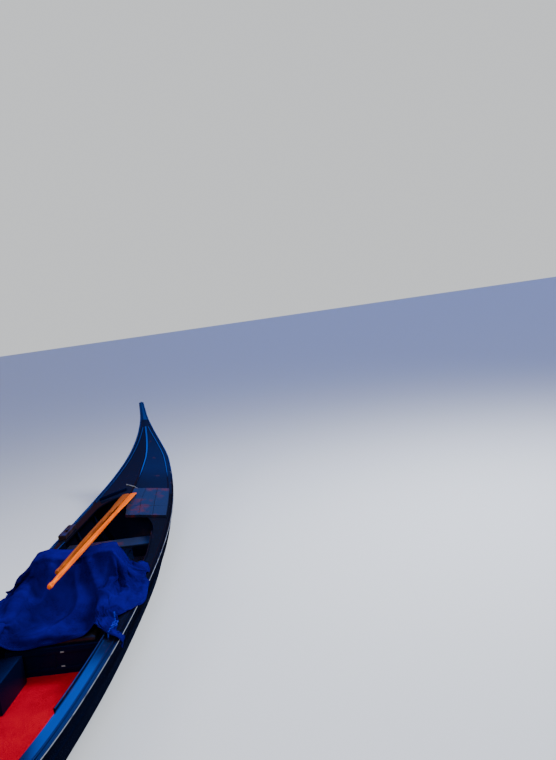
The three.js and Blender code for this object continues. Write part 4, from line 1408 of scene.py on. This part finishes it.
cover = {
    "port": 0.755,  # how far the cut reaches to each side of its middle line
    "starboard": 0.92,
    "behind": 0.36,  # and behind and ahead of the seat back's crest
    "ahead": 1.10,
    "slant": 0.16,
    "corner": 0.58,  # how much further the tail runs
    "cornerWide": 0.40,
    "cornerInset": 0.15,  # how far it is drawn in from the port edge, beginning at insetFrom
    "insetFrom": 0.45,
    "insetOver": 0.8,
    "cells": 84,
    "crest": (5.04, 0.08),  # station and distance to port
    "turn": -1.0,  # degrees
    "height": 1.06,
    "ripple": 0.065,
    "foldLong": 0.75,
    "foldWide": 0.19,
    "foldTurn": -28.0,
    "creaseLong": 0.80,
    "creaseTurn": 0.34,  # radians between creases, which fan out from the crest
    "creaseHigh": 0.065,
    "creaseSharp": 2.6,
    "creaseClear": (0.10, 0.15),  # from the crest, where the oars lie
    "fanBehind": 0.35,
    "hemCells": 6,
    "blockRun": (4.3, 7.2),
    "lipWide": 0.14,  # the cover is held up this far inside the coaming, or its tail slides into the well
    "grow": 0.03,
    "frames": 60,
    "quality": 5,
    "mass": 0.3,
    "stiffness": 15,
    "bending": 0.4,
    "damping": 0.6,
    "hitQuality": 3,
    "hitSkins": (0.004, 0.05),  # outward and inward, of what the sheet falls on
    "clearance": 0.006,
    "friction": 12,
    "selfFriction": 8,
    "thick": 0.0022,
    "stitchLift": 0.0022,
    "hem": {"Width": 0.005, "Height": 0.005, "Rounding": 0.002},
    "stitches": {"Spacing": 0.014, "Length": 0.009, "Thread": 0.0009},
    "restsOn": (
        "main_seat_back", "main_seat_base", "main_seat_cushion", "port_armrest", "starboard_armrest", "side_seat",
        "passenger_floor",
    ),
}
tape = {
    "line": ((5.93, 0.585), (6.00, 0.600), (6.08, 0.612), (6.17, 0.618), (6.27, 0.612)),  # station, distance to port
    "strip": {"Width": 0.012, "Height": 0.002, "Rounding": 0.0006},
    "lift": 0.003,
    "lookFrom": 2.0,  # a height above everything that it may lie on
    "samples": 40,
    "knot": (6.10, 0.612),
    "knotLift": 0.006,
    "loops": ((0.060, 0.022, 35.0), (0.052, 0.020, 150.0)),  # length, half width and direction of each loop
    "loopRise": 0.014,
    "loopPoints": 25,
}


def flatPoint(i, j):
    v = -cover["starboard"] + (cover["port"] + cover["starboard"]) * j / cover["cells"]
    fromEdge = cover["port"] - v
    ahead = cover["ahead"] - cover["slant"] * v + cover["corner"] * smooth(1 - fromEdge / cover["cornerWide"])
    u = -cover["behind"] + (cover["behind"] + ahead) * i / cover["cells"]
    inset = cover["cornerInset"] * smooth((u - cover["insetFrom"]) / cover["insetOver"])
    return u, v - inset * smooth(1 - fromEdge / (2 * cover["cornerWide"]))


def coverPoint(i, j):
    u, v = flatPoint(i, j)
    turn = math.radians(cover["turn"])
    station, across = cover["crest"]
    x = station - boat["length"] / 2 + u * math.cos(turn) - v * math.sin(turn)
    y = hullAt(station).y + across + u * math.sin(turn) + v * math.cos(turn)
    fold = math.radians(cover["foldTurn"])
    along = (u * math.cos(fold) + v * math.sin(fold)) / cover["foldLong"]
    aside = (v * math.cos(fold) - u * math.sin(fold)) / cover["foldWide"]
    ripple = noise.noise(Vector((along, aside, 4.7)))
    ripple += 0.6 * noise.noise(Vector((along * 1.7 + 3, aside * 1.9, 1.1)))
    return (x, y, cover["height"] + cover["ripple"] * ripple)


def flatSheet():
    cells = cover["cells"]
    size = cells + 1
    points = [coverPoint(i, j) for i in range(size) for j in range(size)]
    sheet = newPiece("coverSheet", points, gridFaces(cells, cells))
    flat = sheet.data.uv_layers.new(name="flat")
    for loop in sheet.data.loops:
        flat.data[loop.index].uv = flatPoint(*divmod(loop.vertex_index, size))
    return sheet


def sideBlock(side, hand):  # coaming, side deck and rail as one closed shape
    rings = []
    for s in stations(*cover["blockRun"], 0.1):
        hull = hullAt(s)
        sheer, edge = hull.sheerHalf, wellHalf(s, side)
        rail, low = deckTop(hull, sheer) + 0.004, hull.sheerZ - 0.30
        lip = deckTop(hull, edge) + rails["coamingAbove"]
        inner = edge - cover["lipWide"]
        section = [(sheer + 0.024, low), (sheer + 0.024, hull.sheerZ), (sheer + 0.016, rail), (sheer, rail)]
        section += [(y, deckTop(hull, y)) for y in np.linspace(sheer - 0.001, edge, 4)]
        section += [(edge - 0.001, lip), (inner, lip), (inner, low)]
        rings.append([at(hull, hand * y, z) for y, z in section])
    return loft(f"{side}Block", rings)


def makeSolidFor(piece, name):
    shape = newPiece(name, [])
    shape.data = piece.data.copy()
    shape.modifiers.new("hit", "COLLISION")
    shape.collision.thickness_outer, shape.collision.thickness_inner = cover["hitSkins"]
    shape.collision.cloth_friction = cover["friction"]
    return shape


def setWeave(cloth):
    settings = cloth.settings
    settings.quality = cover["quality"]
    settings.mass = cover["mass"]
    settings.shrink_min = -cover["grow"]
    settings.tension_stiffness = settings.compression_stiffness = cover["stiffness"]
    settings.shear_stiffness = cover["stiffness"] / 3
    settings.bending_stiffness = cover["bending"]
    settings.air_damping = cover["damping"]
    hits = cloth.collision_settings
    hits.collision_quality = cover["hitQuality"]
    hits.use_self_collision = True
    hits.distance_min = hits.self_distance_min = cover["clearance"]
    hits.self_friction = cover["selfFriction"]


def letFall(sheet):
    blocks = [sideBlock(side, hand) for side, hand in hands.items()]
    held = [makeSolidFor(nodes[name], f"under_{name}") for name in cover["restsOn"]]
    held += [makeSolidFor(block, f"under_{block.name}") for block in blocks]
    setWeave(sheet.modifiers.new("cloth", "CLOTH"))
    fallen = runFrames(sheet, cover["frames"])
    for shape in held + blocks:
        bpy.data.objects.remove(shape)
    return fallen


def creased(sheet):  # creases that fan out from the crest, none under the oars or at the hem
    size = cover["cells"] + 1
    places = []
    for index, vert in enumerate(sheet.data.vertices):
        i, j = divmod(index, size)
        u, v = flatPoint(i, j)
        fan = math.atan2(v, u + cover["fanBehind"]) / cover["creaseTurn"]
        out = math.hypot(v, u + cover["fanBehind"]) / cover["creaseLong"]
        ridge = max(0.0, 1 - cover["creaseSharp"] * abs(noise.noise(Vector((out, fan, 2.3))))) ** 2
        inside = min(i, j, size - 1 - i, size - 1 - j) / cover["hemCells"]
        near, over = cover["creaseClear"]
        push = cover["creaseHigh"] * ridge * smooth((abs(u) - near) / over) * smooth(inside)
        places.append(vert.co + vert.normal * push * (1 if vert.normal.z > 0 else -1))
    for vert, place in zip(sheet.data.vertices, places):
        vert.co = place
    sheet.data.update()
    return sheet


def thicken(sheet):
    finer = sheet.modifiers.new("finer", "SUBSURF")
    finer.levels = finer.render_levels = 1
    wall = sheet.modifiers.new("wall", "SOLIDIFY")
    wall.thickness = cover["thick"]
    wall.offset = 0
    made = plainMesh(sheet)
    made.data.shade_smooth()
    return made


def rimLine(sheet, inset, lift):  # the border of the fallen sheet, some cells in from its edge
    size = cover["cells"] + 1
    last = cover["cells"] - inset
    line = []
    for i, j in [*rimCells(inset, last, last), (inset, inset)]:
        vert = sheet.data.vertices[i * size + j]
        up = 1 if vert.normal.z > 0 else -1
        line.append(tuple(vert.co + vert.normal * lift * up))
    return line


def lyingPoint(tree, station, across, lift):  # on whatever lies there, looking down from above
    hull = hullAt(station)
    top = tree.ray_cast(Vector((hull.x, hull.y + across, tape["lookFrom"])), Vector((0, 0, -1)))[0]
    high = max(deckTop(hull, across), top.z if top else 0)
    return Vector((hull.x, hull.y + across, high + lift))


def tapeLines(sheet):
    shape = bmesh.new()
    shape.from_mesh(sheet.data)
    tree = BVHTree.FromBMesh(shape)
    shape.free()
    corners = range(len(tape["line"]))
    steps = np.linspace(0, corners[-1], tape["samples"])
    along, aside = (np.interp(steps, corners, values) for values in zip(*tape["line"]))
    lines = [[tuple(lyingPoint(tree, s, y, tape["lift"])) for s, y in zip(along, aside)]]
    knot = lyingPoint(tree, *tape["knot"], tape["knotLift"])
    for length, wide, direction in tape["loops"]:
        turn = math.radians(direction)
        line = []
        for angle in np.linspace(0, 2 * math.pi, tape["loopPoints"]):
            out, aside = length / 2 * (1 - math.cos(angle)), wide * math.sin(angle)
            line.append((
                knot.x + out * math.cos(turn) - aside * math.sin(turn),
                knot.y + out * math.sin(turn) + aside * math.cos(turn),
                knot.z + tape["loopRise"] * math.sin(angle / 2),
            ))
        lines.append(line)
    return lines


def buildCover():
    fallen = creased(letFall(flatSheet()))
    edge, stitched, taped = rimLine(fallen, 0, 0.0), rimLine(fallen, 1, cover["stitchLift"]), tapeLines(fallen)
    piece = dress(thicken(fallen), "cover", "blue_cover", "cover")
    parts = [
        lay("coverHem", "moulding", [edge], "cover", "blue_cover", cover["hem"]),
        lay("coverStitches", "stitches", [stitched], "coverThread", "blue_cover", cover["stitches"]),
        lay("coverTape", "moulding", taped, "coverThread", "blue_cover", tape["strip"]),
    ]


buildCover()
print("cover laid")
